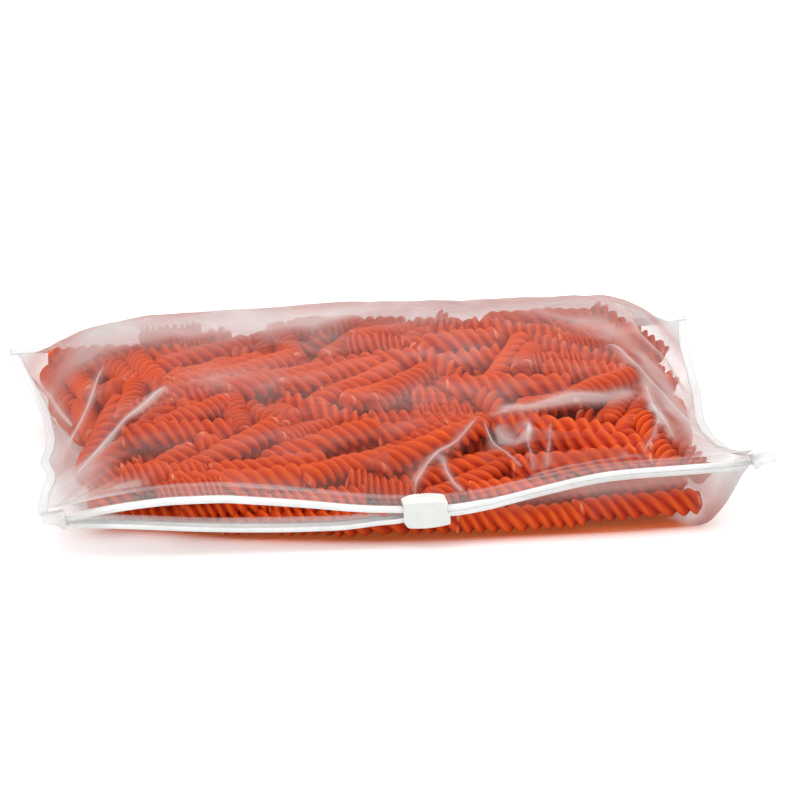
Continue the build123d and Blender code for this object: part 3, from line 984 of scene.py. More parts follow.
@dataclass
class Filling:
    """Spiral pasta that lies in the bag, staged like the table."""

    form: BagForm
    film: Film
    free: Array
    length: float = 46.0
    radius: float = 5.2
    seed: int = 7
    step: float = 1.5
    sink: float = 1.9
    pour_x: tuple[float, float] = (-124.0, 122.0)
    pour_y: tuple[float, float] = (-80.0, 84.0)
    side_room: float = 5.5
    low_room: float = 9.0
    corner_room: float = 10.0
    lean_limit: float = 0.45
    rear_limit: float = 79.5
    rear_rows: Line = ((77.5, 7.0), (76.5, 17.0), (74.0, 26.5))
    rear_length: float = 44.0
    pieces: list[Pasta] = field(default_factory=list)
    tops: Array | None = None
    walls: dict[str, Array] = field(default_factory=dict)

    def measure(self) -> None:
        """Reads the bag's walls once, on the grid of heights."""
        xs, ys = self.grid()
        self.walls["left"], self.walls["left_z"] = self.form.seam(End.LEFT, ys)
        self.walls["right"], self.walls["right_z"] = self.form.seam(End.RIGHT, ys)
        self.walls["foot"] = self.form.foot(xs)
        self.walls["lip"] = self.form.lip(Side.LOWER, xs)

    def grid(self) -> tuple[Array, Array]:
        """Plan of the heights: places along X and Y."""
        return np.arange(-132, 132.1, self.step), np.arange(-93, 93.1, self.step)

    def top_at(self, x: Array, y: Array) -> Array:
        """Height of the heap.

        Args:
            x: Plan places.
            y: Plan places.

        Returns:
            The height at each place.
        """
        xs, ys = self.grid()
        i = np.clip((x - xs[0]) / self.step, 0, len(xs) - 1.001)
        j = np.clip((y - ys[0]) / self.step, 0, len(ys) - 1.001)
        i0, j0 = i.astype(int), j.astype(int)
        fi, fj = i - i0, j - j0
        h = self.tops
        return (
            h[i0, j0] * (1 - fi) * (1 - fj) + h[i0 + 1, j0] * fi * (1 - fj)
            + h[i0, j0 + 1] * (1 - fi) * fj + h[i0 + 1, j0 + 1] * fi * fj
        )

    def settle(self, x: float, y: float, turn: float, length: float) -> Pasta:
        """Drops a piece on the heap.

        Args:
            x: Plan place of its middle.
            y: Plan place of its middle.
            turn: Direction in plan, in radians.
            length: Its length.

        Returns:
            The piece where it comes to rest.
        """
        shares = np.linspace(-0.45, 0.45, 9)
        px = x + shares * length * math.cos(turn)
        py = y + shares * length * math.sin(turn)
        under = self.top_at(px, py)
        left, right = under[:5].max(), under[4:].max()
        lean = np.clip((right - left) / (length * 0.6), -self.lean_limit, self.lean_limit)
        height = max(np.max(under - shares * length * lean), 0.3) + self.radius - self.sink
        low = height - abs(lean) * length * 0.45
        height += max(0.0, self.radius + 0.5 - low)
        along = np.array([math.cos(turn), math.sin(turn), lean])
        return Pasta(np.array([x, y, height]), along / np.linalg.norm(along), length, self.radius)

    def fits(self, piece: Pasta) -> bool:
        """Tests whether a piece stays inside the films.

        Args:
            piece: The piece where it would lie.

        Returns:
            Whether it does.
        """
        shares = np.linspace(-0.46, 0.46, 9)
        points = piece.middle + np.outer(shares * piece.length, piece.along)
        x, y, z = points.T
        xs, ys = self.grid()
        left, right, left_z, right_z = (
            np.interp(y, ys, self.walls[key]) for key in ("left", "right", "left_z", "right_z")
        )
        foot, lip = (np.interp(x, xs, self.walls[key]) for key in ("foot", "lip"))
        low_left = self.low_room * np.clip(1 - z / left_z, 0, 1)
        low_left = low_left + self.corner_room * (1 - smoothstep(-62, -30, y))
        low_right = self.low_room * np.clip(1 - z / right_z, 0, 1)
        inside = (x > left + self.side_room + low_left) & (x < right - self.side_room - low_right)
        front = foot + (-83 - foot) * np.clip((z - 3) / lip, 0, 1)
        inside &= (y > front + self.side_room) & (y < self.rear_limit)
        film = self.film.height_at(self.free, x, y)
        film = np.minimum(film, self.film.height_at(self.free, x + 4 * np.sign(x), y + 5))
        roof = film - piece.radius - 0.6 - 1.6 * smoothstep(10, 50, y)
        return bool(inside.all() and (z < roof).all())

    def lay(self, piece: Pasta) -> None:
        """Adds a piece to the heap and raises the heights under it.

        Args:
            piece: The piece.
        """
        self.pieces.append(piece)
        xs, ys = self.grid()
        a, b = piece.ends()
        reach = piece.radius + self.step
        i = slice(*np.searchsorted(xs, (min(a[0], b[0]) - reach, max(a[0], b[0]) + reach)))
        j = slice(*np.searchsorted(ys, (min(a[1], b[1]) - reach, max(a[1], b[1]) + reach)))
        gx, gy = np.meshgrid(xs[i], ys[j], indexing="ij")
        run = (b - a)[:2]
        u = np.clip(((gx - a[0]) * run[0] + (gy - a[1]) * run[1]) / max(run @ run, 1e-6), 0, 1)
        away = np.hypot(gx - (a[0] + u * run[0]), gy - (a[1] + u * run[1]))
        top = a[2] + u * (b[2] - a[2]) + np.sqrt(np.maximum(piece.radius**2 - away**2, 0))
        self.tops[i, j] = np.where(away < piece.radius, np.maximum(self.tops[i, j], top), self.tops[i, j])

    def pour(self, tries: int, length: float, spread: float, draw: np.random.Generator) -> None:
        """Drops pieces where they come to lie lowest.

        Args:
            tries: How many places are tried.
            length: Length of a piece.
            spread: How widely their directions differ, in radians.
            draw: Source of chance.
        """
        for _ in range(tries):
            best = None
            for _ in range(5):
                x, y = draw.uniform(*self.pour_x), draw.uniform(*self.pour_y)
                piece = self.settle(x, y, draw.normal(0.1, spread), length * draw.uniform(0.9, 1.06))
                if self.fits(piece) and (best is None or piece.middle[2] < best.middle[2]):
                    best = piece
            if best is not None:
                self.lay(best)

    def pile(self) -> None:
        """Fills the bag from the floor up."""
        xs, ys = self.grid()
        self.tops = np.zeros((len(xs), len(ys)))
        self.measure()
        for x, y, z, turn, lean, length in PLACED_PIECES:
            along = np.array([math.cos(turn), math.sin(turn), lean])
            self.lay(Pasta(np.array([x, y, z]), along / np.linalg.norm(along), length, self.radius))
        for level, (y, z) in enumerate(self.rear_rows):
            for x in np.arange(-98 + 21 * (level % 2), 100, self.rear_length - 1):
                along = np.array([1.0, 0.0, 0.0])
                self.lay(Pasta(np.array([x, y, z]), along, self.rear_length, self.radius))
        draw = np.random.default_rng(self.seed)
        for tries, share, spread in ((1600, 1.0, 1.2), (1000, 0.7, 1.5), (900, 0.5, 1.5)):
            self.pour(tries, self.length * share, spread, draw)

    def spiral(self, name: str, turns: float, bend: float) -> bpy.types.Mesh:
        """Mesh of one spiral along X.

        Args:
            name: Name of the mesh.
            turns: Whole turns of its three blades.
            bend: How far its middle bows out.

        Returns:
            The mesh.
        """
        rings, around, blades = 128, 36, 3
        u = np.linspace(-0.5, 0.5, rings)[:, None]
        angle = np.linspace(0, 2 * math.pi, around, endpoint=False)[None, :]
        twist = 2 * math.pi * turns * u + 0.35 * np.sin(9 * u + 4 * bend)
        wave = 0.5 + 0.5 * np.cos(blades * (angle - twist))
        blade = wave**0.7
        swell = 1 - 0.05 * (1 + np.sin(13 * u + 2 * angle + 5 * bend))
        radius = self.radius * swell * (0.54 + 0.46 * blade) * (1 - 0.25 * np.abs(2 * u) ** 24)
        half = self.length / 2
        bow = bend * (1 - 4 * u**2)
        x = u * 2 * half + 0 * angle
        rings_at = np.stack([x, radius * np.cos(angle) + bow, radius * np.sin(angle)], axis=-1)
        # A painted highlight curve close to each end.
        away = np.abs(u)
        arc = np.clip(1.6 * np.cos(angle - 3 * u), 0, 1) * blade
        body = 1 - 0.85 * smoothstep(0.466, 0.476, away) * (1 - smoothstep(0.480, 0.490, away)) * arc
        thing = swept_mesh(name, rings_at, {"ridge": blade + 0 * u, "tip": body})
        # Only the mesh is kept: every lying piece is an object of its own that shares it.
        mesh = thing.data
        bpy.data.objects.remove(thing)
        return mesh

    def build(self, finish: bpy.types.Material) -> None:
        """Makes the staged pasta.

        Args:
            finish: Its material.
        """
        kinds = ((3.0, 0.4), (3.3, -0.7), (2.7, 1.0), (3.1, -0.3), (2.9, 0.8))
        meshes = [self.spiral(f"spiral_{k}", turns, bend) for k, (turns, bend) in enumerate(kinds)]
        for mesh in meshes:
            mesh.materials.append(finish)
        draw = np.random.default_rng(self.seed + 1)
        for k, piece in enumerate(self.pieces):
            thing = put(f"pasta_{k:03d}", meshes[k % len(meshes)])
            turn = Vector(piece.along).to_track_quat("X", "Z").to_euler()
            turn.rotate_axis("X", draw.uniform(0, 2 * math.pi))
            thing.rotation_euler = turn
            thing.location = Vector(piece.middle * MM)
            thing.scale.x = piece.length / self.length
        LOG.info("filling: %d pieces", len(self.pieces))


# ------------------------------------------------------------------ pieces of the bag
@dataclass(frozen=True)
class Fold:
    """A fold in the upper film: a raised crease, with a thin painted highlight line along it and a softer
    painted sheen beside it.
    """

    line: Line
    rise: float = 0.8
    width: float = 3.0
    # Strength of the painted highlight line, then strength and width of the painted sheen beside it.
    bright: float = 1.0
    glow: float = 0.3
    painted_fold_sheen_width: float = 2.5


# Each fold: its line, the rise and width of the real crease, then the painted highlight line and the
# painted sheen beside it.
FOLDS = (
    Fold(
        ((-101.6, 31.5), (-108, 9), (-115, -12), (-120, -24), (-127, -38), (-132, -52)),
        1.6, 3.0, 1.0, 0.3, 2.5,
    ),
    Fold(((-127.5, 70), (-121.6, 44), (-116, -8)), 0.9, 2.0, 1.0, 0.25, 1.8),
    Fold(
        ((-80.6, -8), (-90.8, -23), (-101, -35.3), (-112.5, -47), (-121.8, -57)),
        1.2, 4.0, 0.6, 0.55, 2.6,
    ),
    Fold(((98, 62), (101, 46.5), (103.2, 28), (107.8, 25), (114.4, 24), (118, 4)), 1.6, 3.0, 1.0, 0.3, 2.5),
    Fold(
        ((86, 12), (91.6, -3.6), (97.4, -17), (103.7, -28.6), (110, -46), (118, -70)),
        2.0, 2.5, 1.0, 0.4, 3.0,
    ),
    Fold(((97.4, -17), (97.1, -46.6), (98.7, -58.4), (101, -74)), 0.6, 2.0, 0.4, 0.4, 2.5),
    Fold(
        (
            (1.9, -81.8), (3.6, -76.4), (8.7, -68.6), (13.5, -63.1), (21.3, -57.8), (24.8, -53.9),
            (31.9, -46.1),
        ),
        0.8, 1.5, 1.0, 0.3, 1.5,
    ),
    Fold(((14.5, -63.1), (15.6, -69.4), (17.2, -76), (20.6, -82.5)), 0.4, 1.2, 0.5, 0.6, 2.2),
    Fold(((31.9, -46.1), (34.3, -55.5), (39, -62.6), (41, -71), (44, -76)), 0.4, 1.2, 0.8, 0.35, 1.6),
    Fold(((37, -47.7), (39, -54.7), (43, -57.9), (51, -50.8)), 0.3, 1.5, 0.3, 0.5, 3.5),
    Fold(((33, -45), (51, -44), (67, -37), (81, -38), (97, -31)), 0.6, 3.0, 0.0, 0.55, 3.8),
    Fold(((50, -48), (47.5, -58), (46.7, -72), (46, -80)), 0.3, 1.4, 0.35, 0.4, 1.6),
    Fold(((57.4, -50), (54, -67), (51, -80)), 0.3, 1.4, 0.35, 0.4, 1.6),
    Fold(((96.8, -38), (97.5, -56), (91, -70), (86, -80)), 0.4, 1.6, 0.3, 0.45, 2.0),
    Fold(((42, -80.5), (58, -80), (74, -80), (92, -79)), 0.2, 1.4, 0.3, 0.4, 1.6),
)
# Outline in plan of the place where the upper film lies close on the pasta.
CLING = (
    (0.4, -84.2), (7, -69.3), (18.7, -60.1), (31.9, -46.1), (59.6, -42.1), (75.3, -39), (93.2, -30.2),
    (96.7, -37.3), (97.7, -60.7), (106, -84.2),
)


@dataclass(frozen=True)
class Cloud:
    """A milky place of the upper film: its middle, half sizes, turn in degrees and strength."""

    x: float
    y: float
    long: float
    wide: float
    turn: float
    strength: float

    def mask(self, x: Array, y: Array) -> Array:
        """Its strength in plan.

        Args:
            x: Plan places.
            y: Plan places.

        Returns:
            The strength at each place.
        """
        turn = math.radians(self.turn)
        u = ((x - self.x) * math.cos(turn) + (y - self.y) * math.sin(turn)) / self.long
        v = ((y - self.y) * math.cos(turn) - (x - self.x) * math.sin(turn)) / self.wide
        return self.strength * np.exp(-(u**2) - v**2)


CLOUDS = (
    Cloud(-66, 50, 50, 15, 6, 0.62),
    Cloud(-22, 48, 30, 9, 10, 0.25),
    Cloud(-104, 56, 16, 12, 20, 0.3),
    Cloud(-60, -8, 26, 12, 12, 0.28),
    Cloud(84, 34, 30, 9, -30, 0.35),
    Cloud(104, -2, 26, 7, -70, 0.45),
    Cloud(116, -56, 34, 11, -78, 0.9),
    Cloud(50, 72, 60, 8, 0, 0.2),
    Cloud(-121, -62, 12, 26, 0, 0.5),
)


@dataclass
class FilmPanels:
    """Both films of the bag, dressed and fitted over the filling."""

    form: BagForm
    film: Film
    filling: Filling
    slack: float = 0.32
    suction: float = 0.02
    pull: float = 1.85
    rounds: int = 360
    clearance: float = 0.45
    clearance_seen: float = 0.4
    bare_below: float = 6.0
    haze_limit: float = 0.85
    upper_low: float = 0.46
    upper_reach: float = 11.0
    # How far from the pasta the painted tint of its light reaches.
    painted_pasta_light_reach: float = 10.0

    def cling_mask(self, x: Array, y: Array) -> Array:
        """Where the film lies close on the pasta, in front of the crown.

        Args:
            x: Plan places.
            y: Plan places.

        Returns:
            1 well inside the outline and 0 outside it.
        """
        corners = np.array(CLING, float)
        inside = np.zeros(x.shape, bool)
        for (x0, y0), (x1, y1) in zip(corners, np.roll(corners, -1, axis=0)):
            crosses = (y0 > y) != (y1 > y)
            at = x0 + (y - y0) * (x1 - x0) / (y1 - y0 + 1e-9)
            inside ^= crosses & (x < at)
        away, _ = line_distance(np.stack([x.ravel(), y.ravel()], axis=1), [*CLING, CLING[0]])
        return np.where(inside, smoothstep(0, 5, away.reshape(x.shape)), 0)

    def drape(self, points: Array) -> Array:
        """Stretches the upper film over the pasta.

        Args:
            points: The free film.

        Returns:
            The film after it has settled.
        """
        x, y, free = points[..., 0], points[..., 1], points[..., 2]
        heap = self.filling.top_at(x, y) + self.clearance
        bare = heap < self.bare_below
        heap = np.where(bare, -5, np.minimum(heap, free + 1.0))
        cling = self.cling_mask(x, y)
        z = free.copy()
        rows, cols = np.indices(z.shape)
        inner = np.zeros(z.shape, bool)
        inner[3:-2, 2:-2] = True
        teams = [inner & ((rows + cols) % 2 == k) for k in (0, 1)]

        def beside(z: Array) -> Array:
            """Sum of the four heights round each inner point."""
            return z[:-2, 1:-1] + z[2:, 1:-1] + z[1:-1, :-2] + z[1:-1, 2:]

        for _ in range(self.rounds):
            for team in teams:
                mean = np.zeros_like(z)
                mean[1:-1, 1:-1] = 0.25 * beside(z)
                pushed = np.maximum(z + self.pull * (mean - z) - self.suction * cling, heap)
                z = np.where(team, pushed, z)
        slack = self.slack + 0.5 * smoothstep(20, 56, y)
        z = z + (free - z) * slack * (1 - cling)
        for _ in range(4):
            z[1:-1, 1:-1] = 0.4 * z[1:-1, 1:-1] + 0.15 * beside(z)
        return np.stack([x, y, z], axis=-1)

    def crease(self, points: Array) -> tuple[Array, dict[str, Array]]:
        """Adds folds and small wrinkles.

        Args:
            points: The settled film.

        Returns:
            The creased film, and masks of the painted highlight lines and sheen along the folds.
        """
        shape = points.shape[:2]
        flat = points[..., :2].reshape(-1, 2)
        rise, glow = np.zeros(len(flat)), np.zeros(len(flat))
        strength, signed = np.zeros(len(flat)), np.full(len(flat), 9.0)
        for fold in FOLDS:
            away, share = line_distance(flat, fold.line)
            fade = smoothstep(0, 0.15, share) * (1 - smoothstep(0.85, 1, share))
            rise += fold.rise * np.exp(-away / fold.width) * fade
            # Painted sheen beside each fold and a painted highlight line along it; the rise above is real
            # relief.
            glow += fold.glow * np.exp(-((away / fold.painted_fold_sheen_width) ** 2)) * fade
            near = fold.bright * fade * np.exp(-((away / 4) ** 2))
            nearest = near > strength
            strength = np.where(nearest, near, strength)
            signed = np.where(nearest, away * side_of(flat, fold.line), signed)
        x, y = points[..., 0], points[..., 1]
        rows = np.arange(shape[0])[:, None] / (shape[0] - 1)
        cols = np.arange(shape[1])[None, :] / (shape[1] - 1)
        edge = smoothstep(0, 0.05, rows) * smoothstep(0, 0.04, 1 - rows)
        edge = edge * smoothstep(0, 0.03, cols) * smoothstep(0, 0.03, 1 - cols)
        free = 1 - self.cling_mask(x, y)
        # Long waves on the free film, short ones all over, and pleats behind the mouth.
        wrinkles = 0.35 * ripple(x, y * 0.45, 3, 34) * free + 0.16 * ripple(x * 0.8, y, 5, 13)
        mouth = np.exp((self.form.film_edge - y) / 14) * ripple(x * 1.6, y * 0.25, 11, 17) * 0.5
        # Pleats that fan out from both front corners.
        corner = np.exp(-np.hypot(x - 128, y + 80) / 26) + np.exp(-np.hypot(x + 128, y + 80) / 26)
        turn = np.arctan2(y + 80, np.abs(x) - 132)
        fan = corner * np.sin(turn * 15) * 0.8
        out = points.copy()
        out[..., 2] += (rise.reshape(shape) + wrinkles + mouth + fan) * edge
        masks = {"fold": signed, "fold_strength": strength, "glow": glow}
        return out, {key: value.reshape(shape) for key, value in masks.items()}

    def haze_of(self, points: Array, low: float | Array, reach: float | Array) -> tuple[Array, Array]:
        """Milkiness of a film from its distance to the pasta.

        Args:
            points: The film.
            low: Milkiness where it touches.
            reach: How far from the pasta it turns milky.

        Returns:
            The milkiness, and how strongly a painted tint of the pasta's light colours the film.
        """
        gap = film_gap(points.reshape(-1, 3), self.filling.pieces).reshape(points.shape[:2])
        gap = np.maximum(gap - self.clearance_seen, 0)
        haze = low + (self.haze_limit - low) * (1 - np.exp(-gap / reach))
        # The second mask paints the pasta's orange light on the film near it.
        return haze, np.exp(-((gap / self.painted_pasta_light_reach) ** 2))

    def upper(self) -> bpy.types.Object:
        """Makes the upper film: clear on the pasta and milky under its clouds, with painted highlight lines
        and sheen along its folds and a painted tint of the pasta's light.

        Returns:
            The film.
        """
        points, masks = self.crease(self.drape(self.film.upper_base()))
        x, y = points[..., 0], points[..., 1]
        haze, warm = self.haze_of(points, self.upper_low, self.upper_reach)
        # Painted sheen beside the folds whitens the film and takes away the painted tint of the pasta's
        # light.
        glow = masks.pop("glow")
        haze = haze * (1 - 0.75 * self.cling_mask(x, y)) + glow
        clouds = sum(cloud.mask(x, y) for cloud in CLOUDS)
        haze += clouds + smoothstep(35, 80, y) * 0.35
        warm = warm * (1 - np.clip(glow, 0, 0.8)) * (1 - np.clip(0.9 * clouds, 0, 0.6))
        return grid_mesh("upper_film", points, {"haze": np.clip(haze, 0, 1), "warm": warm, **masks})

    def lower(self) -> bpy.types.Object:
        """Makes the lower film: clearest at the left of its front.

        Returns:
            The film.
        """
        points = self.film.lower_base()
        x, z = points[..., 0], points[..., 2]
        rows = np.arange(len(points))[:, None] / (len(points) - 1)
        front = smoothstep(0.0, 0.02, rows) * (1 - smoothstep(0.10, 0.14, rows))
        points[..., 1] += 0.4 * ripple(x, z * 2, 21, 22) * front
        behind = smoothstep(0.12, 0.2, rows)
        on_table = 1 - smoothstep(0.8, 4, z)
        left_part, right_part = 1 - smoothstep(-100, -50, x), smoothstep(98, 112, x)
        below_closed = smoothstep(15, 45, x) * (1 - smoothstep(0.012, 0.035, rows))
        below_open = (1 - smoothstep(-12, 2, x)) * (1 - smoothstep(0.01, 0.03, rows))
        haze, warm = self.haze_of(points, 0.45 * behind, 13 - 5 * behind)
        # Where the lower film lies on the table behind its front, it takes the painted orange light as
        # well.
        warm = np.maximum(warm, 0.9 * behind * on_table)
        haze = haze * (1 - 0.6 * left_part * (1 - behind))
        haze = np.maximum(haze, right_part * (1 - behind))
        haze += 0.8 * below_closed
        haze += 0.4 * below_open
        return grid_mesh("lower_film", points, {"haze": np.clip(haze, 0, 1), "warm": warm})

    def build(self, finish: bpy.types.Material) -> None:
        """Makes both panels.

        Args:
            finish: The film's material.
        """
        seat(self.upper(), "upper_film_panel", finish)
        seat(self.lower(), "lower_film_panel", finish)


@dataclass
class Seals:
    """Welded bands round the body of the bag."""

    form: BagForm
    side_width: float = 3.4
    rear_width: float = 5.6
    thickness: float = 0.35
    # Shares of a band's width, and its height there.
    section: Line = (
        (0, 0), (0.18, 0.16), (0.3, -0.05), (0.5, -0.05), (0.72, 0.12), (0.86, 0.05), (1.0, 0),
    )

    def band(self, node: str, inner: Array, outer: Array, finish: bpy.types.Material) -> None:
        """Makes a band between two lines, with a pressed middle.

        Args:
            node: The CAD node that it stands for.
            inner: Points of the inner line.
            outer: Points of the outer line.
            finish: Its material.
        """
        shares, press = (np.array(c, float) for c in zip(*self.section))
        rows = inner[None] + shares[:, None, None] * (outer - inner)[None]
        along = np.arange(inner.shape[0])
        waves = np.sin(along * 0.33)[None] * np.sin(along * 0.071)[None]
        rows[..., 2] += press[:, None] + 0.35 * shares[:, None] * waves
        haze = np.tile((0.72 + 0.2 * np.abs(shares - 0.5))[:, None], (1, len(along)))
        piece = grid_mesh(node.replace("_seal", "_band"), rows, {"haze": haze})
        shell = piece.modifiers.new("thickness", "SOLIDIFY")
        shell.thickness = self.thickness * MM
        shell.offset = 0
        seat(piece, node, finish)

    def build(self, finish: bpy.types.Material) -> None:
        """Makes the two side bands and the rear band.

        Args:
            finish: Their material.
        """
        form = self.form
        y = np.linspace(form.film_edge, form.rear_y, 120)
        for end, node in ((End.LEFT, "left_side_seal"), (End.RIGHT, "right_side_seal")):
            x, z = form.seam(end, y)
            inner = np.stack([x, y, z], axis=-1)
            outer = inner + np.array([end.value * self.side_width, 0, 0])
            outer[:, 2] += 0.5 * np.sin(y * 0.11)
            self.band(node, inner, outer, finish)
        left, left_z = form.seam(End.LEFT, np.array([form.rear_y]))
        right, right_z = form.seam(End.RIGHT, np.array([form.rear_y]))
        x = np.linspace(left[0] - self.side_width, right[0] + self.side_width, 160)
        z = form.rear_z(x)
        blend = smoothstep(0, 12, x - x[0]) * smoothstep(0, 12, x[-1] - x)
        z = np.where(x < 0, left_z[0], right_z[0]) * (1 - blend) + z * blend
        inner = np.stack([x, np.full_like(x, form.rear_y), z], axis=-1)
        outer = inner + np.array([0, self.rear_width, 0])
        outer[:, 2] += 0.6 * np.sin(x * 0.07) + 0.4
        self.band("rear_seal", inner, outer, finish)


@dataclass
class Zipper:
    """Two tracks with their ribs, and the pressed ends of the mouth."""

    form: BagForm
    stations: int = 420
    # Sections: distance from the mouth's edge, and height over the mating face.
    upper_ribs: Line = (
        (0.0, 0.25), (0.15, 0.05), (1.0, 0.0), (1.3, 0.75), (2.9, 0.8), (2.95, -0.45), (3.2, -0.8),
        (3.45, -0.45), (3.5, 0.8), (5.3, 0.8), (5.35, -0.45), (5.6, -0.8), (5.85, -0.45), (5.9, 0.8),
        (7.0, 0.9),
    )
    lower_ribs: Line = (
        (0.0, 0.25), (0.15, 0.05), (1.0, 0.0), (1.3, 1.0), (2.2, 1.0), (2.2, -0.1), (2.55, 0.2),
        (2.75, 1.0), (3.65, 1.0), (3.85, 0.2), (4.2, -0.1), (4.2, 1.0), (4.6, 1.0), (4.6, -0.1),
        (4.95, 0.2), (5.1, 1.0), (6.1, 1.0), (6.25, 0.2), (6.6, -0.1), (6.6, 1.0),
        (7.0, 1.0),
    )
    outer_face: Line = (
        (7.6, 1.2), (8.6, 1.2), (9.4, 1.2), (10.6, 1.2), (12.4, 1.3), (12.4, 1.5), (10.6, 1.6), (9.4, 1.6),
        (8.6, 1.6), (7.7, 1.6), (7.1, 1.6), (7.0, 2.0), (6.5, 2.05), (6.1, 1.6), (4.4, 1.6), (3.4, 1.6),
        (3.2, 1.75), (3.0, 1.6), (2.1, 1.6), (1.4, 1.6), (1.1, 1.85), (0.3, 1.8), (0.0, 1.5),
    )
    # A pressed end: distance past the track, half its height, and how far its edge is set back.
    end_steps: Sequence[tuple[float, float, float]] = (
        (0, 1.9, 0), (0.4, 2.05, 0), (1.2, 2.0, 0), (1.8, 1.5, 0), (2.4, 0.95, 0), (3.6, 0.6, 0),
        (5.4, 0.45, 0.1), (7.2, 0.35, 0.4), (8.0, 0.25, 1.0),
    )
    # Distance from the mouth's edge, and the share of that height there.
    end_pad: Line = (
        (0.0, 0.6), (0.4, 1), (2.5, 1), (5.0, 1), (7.2, 1), (9.2, 0.8), (9.95, 0.45), (12.9, 0.15),
    )

    def track(self, side: Side, finish: bpy.types.Material) -> None:
        """Makes one track.

        Args:
            side: Which track.
            finish: Its material.
        """
        ribs = self.upper_ribs if side is Side.UPPER else self.lower_ribs
        u, v = (np.array(c, float) for c in zip(*ribs, *self.outer_face))
        if side is Side.LOWER:
            u, v = u[::-1], v[::-1]
        x = np.linspace(-self.form.track_end, self.form.track_end, self.stations)
        grid_x, grid_u = np.meshgrid(x, u, indexing="ij")
        rings = self.form.on_track(side, grid_x, grid_u, np.tile(v, (len(x), 1)))
        ends = 1 - 0.8 * smoothstep(106, 126, np.abs(x))
        # The track is white up to here, and as clear as the film beyond.
        white = (3.7 if side is Side.UPPER else 4.3) - 2.4 * smoothstep(18, 40, grid_x)
        solid = (1 - smoothstep(0, 0.7, grid_u - white)) * ends[:, None]
        if side is Side.LOWER:
            solid = solid * (1 - 0.3 * smoothstep(24, 60, grid_x))
            solid = np.maximum(solid, 0.2 * (1 - smoothstep(-12, 2, grid_x)))
        name = side.name.lower()
        piece = swept_mesh(f"{name}_track", rings[:, ::-1], {"haze": solid[:, ::-1]})
        seat(piece, f"{name}_zipper_track", finish)

    def end_weld(self, end: End, finish: bpy.types.Material) -> None:
        """Makes one pressed end: a stop for the slider that thins out to the bag's corner.

        Args:
            end: Which end.
            finish: Its material.
        """
        u, share = (np.array(c, float) for c in zip(*self.end_pad))
        rings = []
        for along, half, back in self.end_steps:
            x = np.full(len(u), end.value * (self.form.track_end + along))
            reach = back + u * (self.form.film_from - back) / self.form.film_from
            pad = half * share * (1 + 0.05 * np.sin(u * 3.1))
            high = self.form.on_track(Side.UPPER, x, reach, 0 * u)
            low = self.form.on_track(Side.LOWER, x, reach, 0 * u)
            core = (high + low) / 2
            top, bottom = core.copy(), core.copy()
            top[:, 2] += pad
            bottom[:, 2] -= pad
            rings.append(np.concatenate([top, bottom[::-1]]))
        stack = np.array(rings)
        if end is End.LEFT:
            stack = stack[::-1]
        name = f"{end.name.lower()}_end"
        piece = swept_mesh(name, stack[:, ::-1], {"haze": np.full(stack.shape[:2], 0.75)})
        seat(piece, f"{name}_weld", finish)

    def build(self, finish: bpy.types.Material, weld: bpy.types.Material) -> None:
        """Makes the tracks and ends.

        Args:
            finish: Material of the tracks.
            weld: Material of the pressed ends.
        """
        for side in Side:
            self.track(side, finish)
        for end in End:
            self.end_weld(end, weld)


@dataclass
class Slider:
    """The moulded slider, whose CAD shape stays."""

    node: str = "slider"

    def dress(self, finish: bpy.types.Material) -> None:
        """Gives the slider its material.

        Args:
            finish: The material.
        """
        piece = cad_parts[self.node]
        if not piece.material_slots:
            piece.data.materials.append(finish)
        for held in piece.material_slots:
            held.material = finish
        LOG.info("%s dressed", self.node)


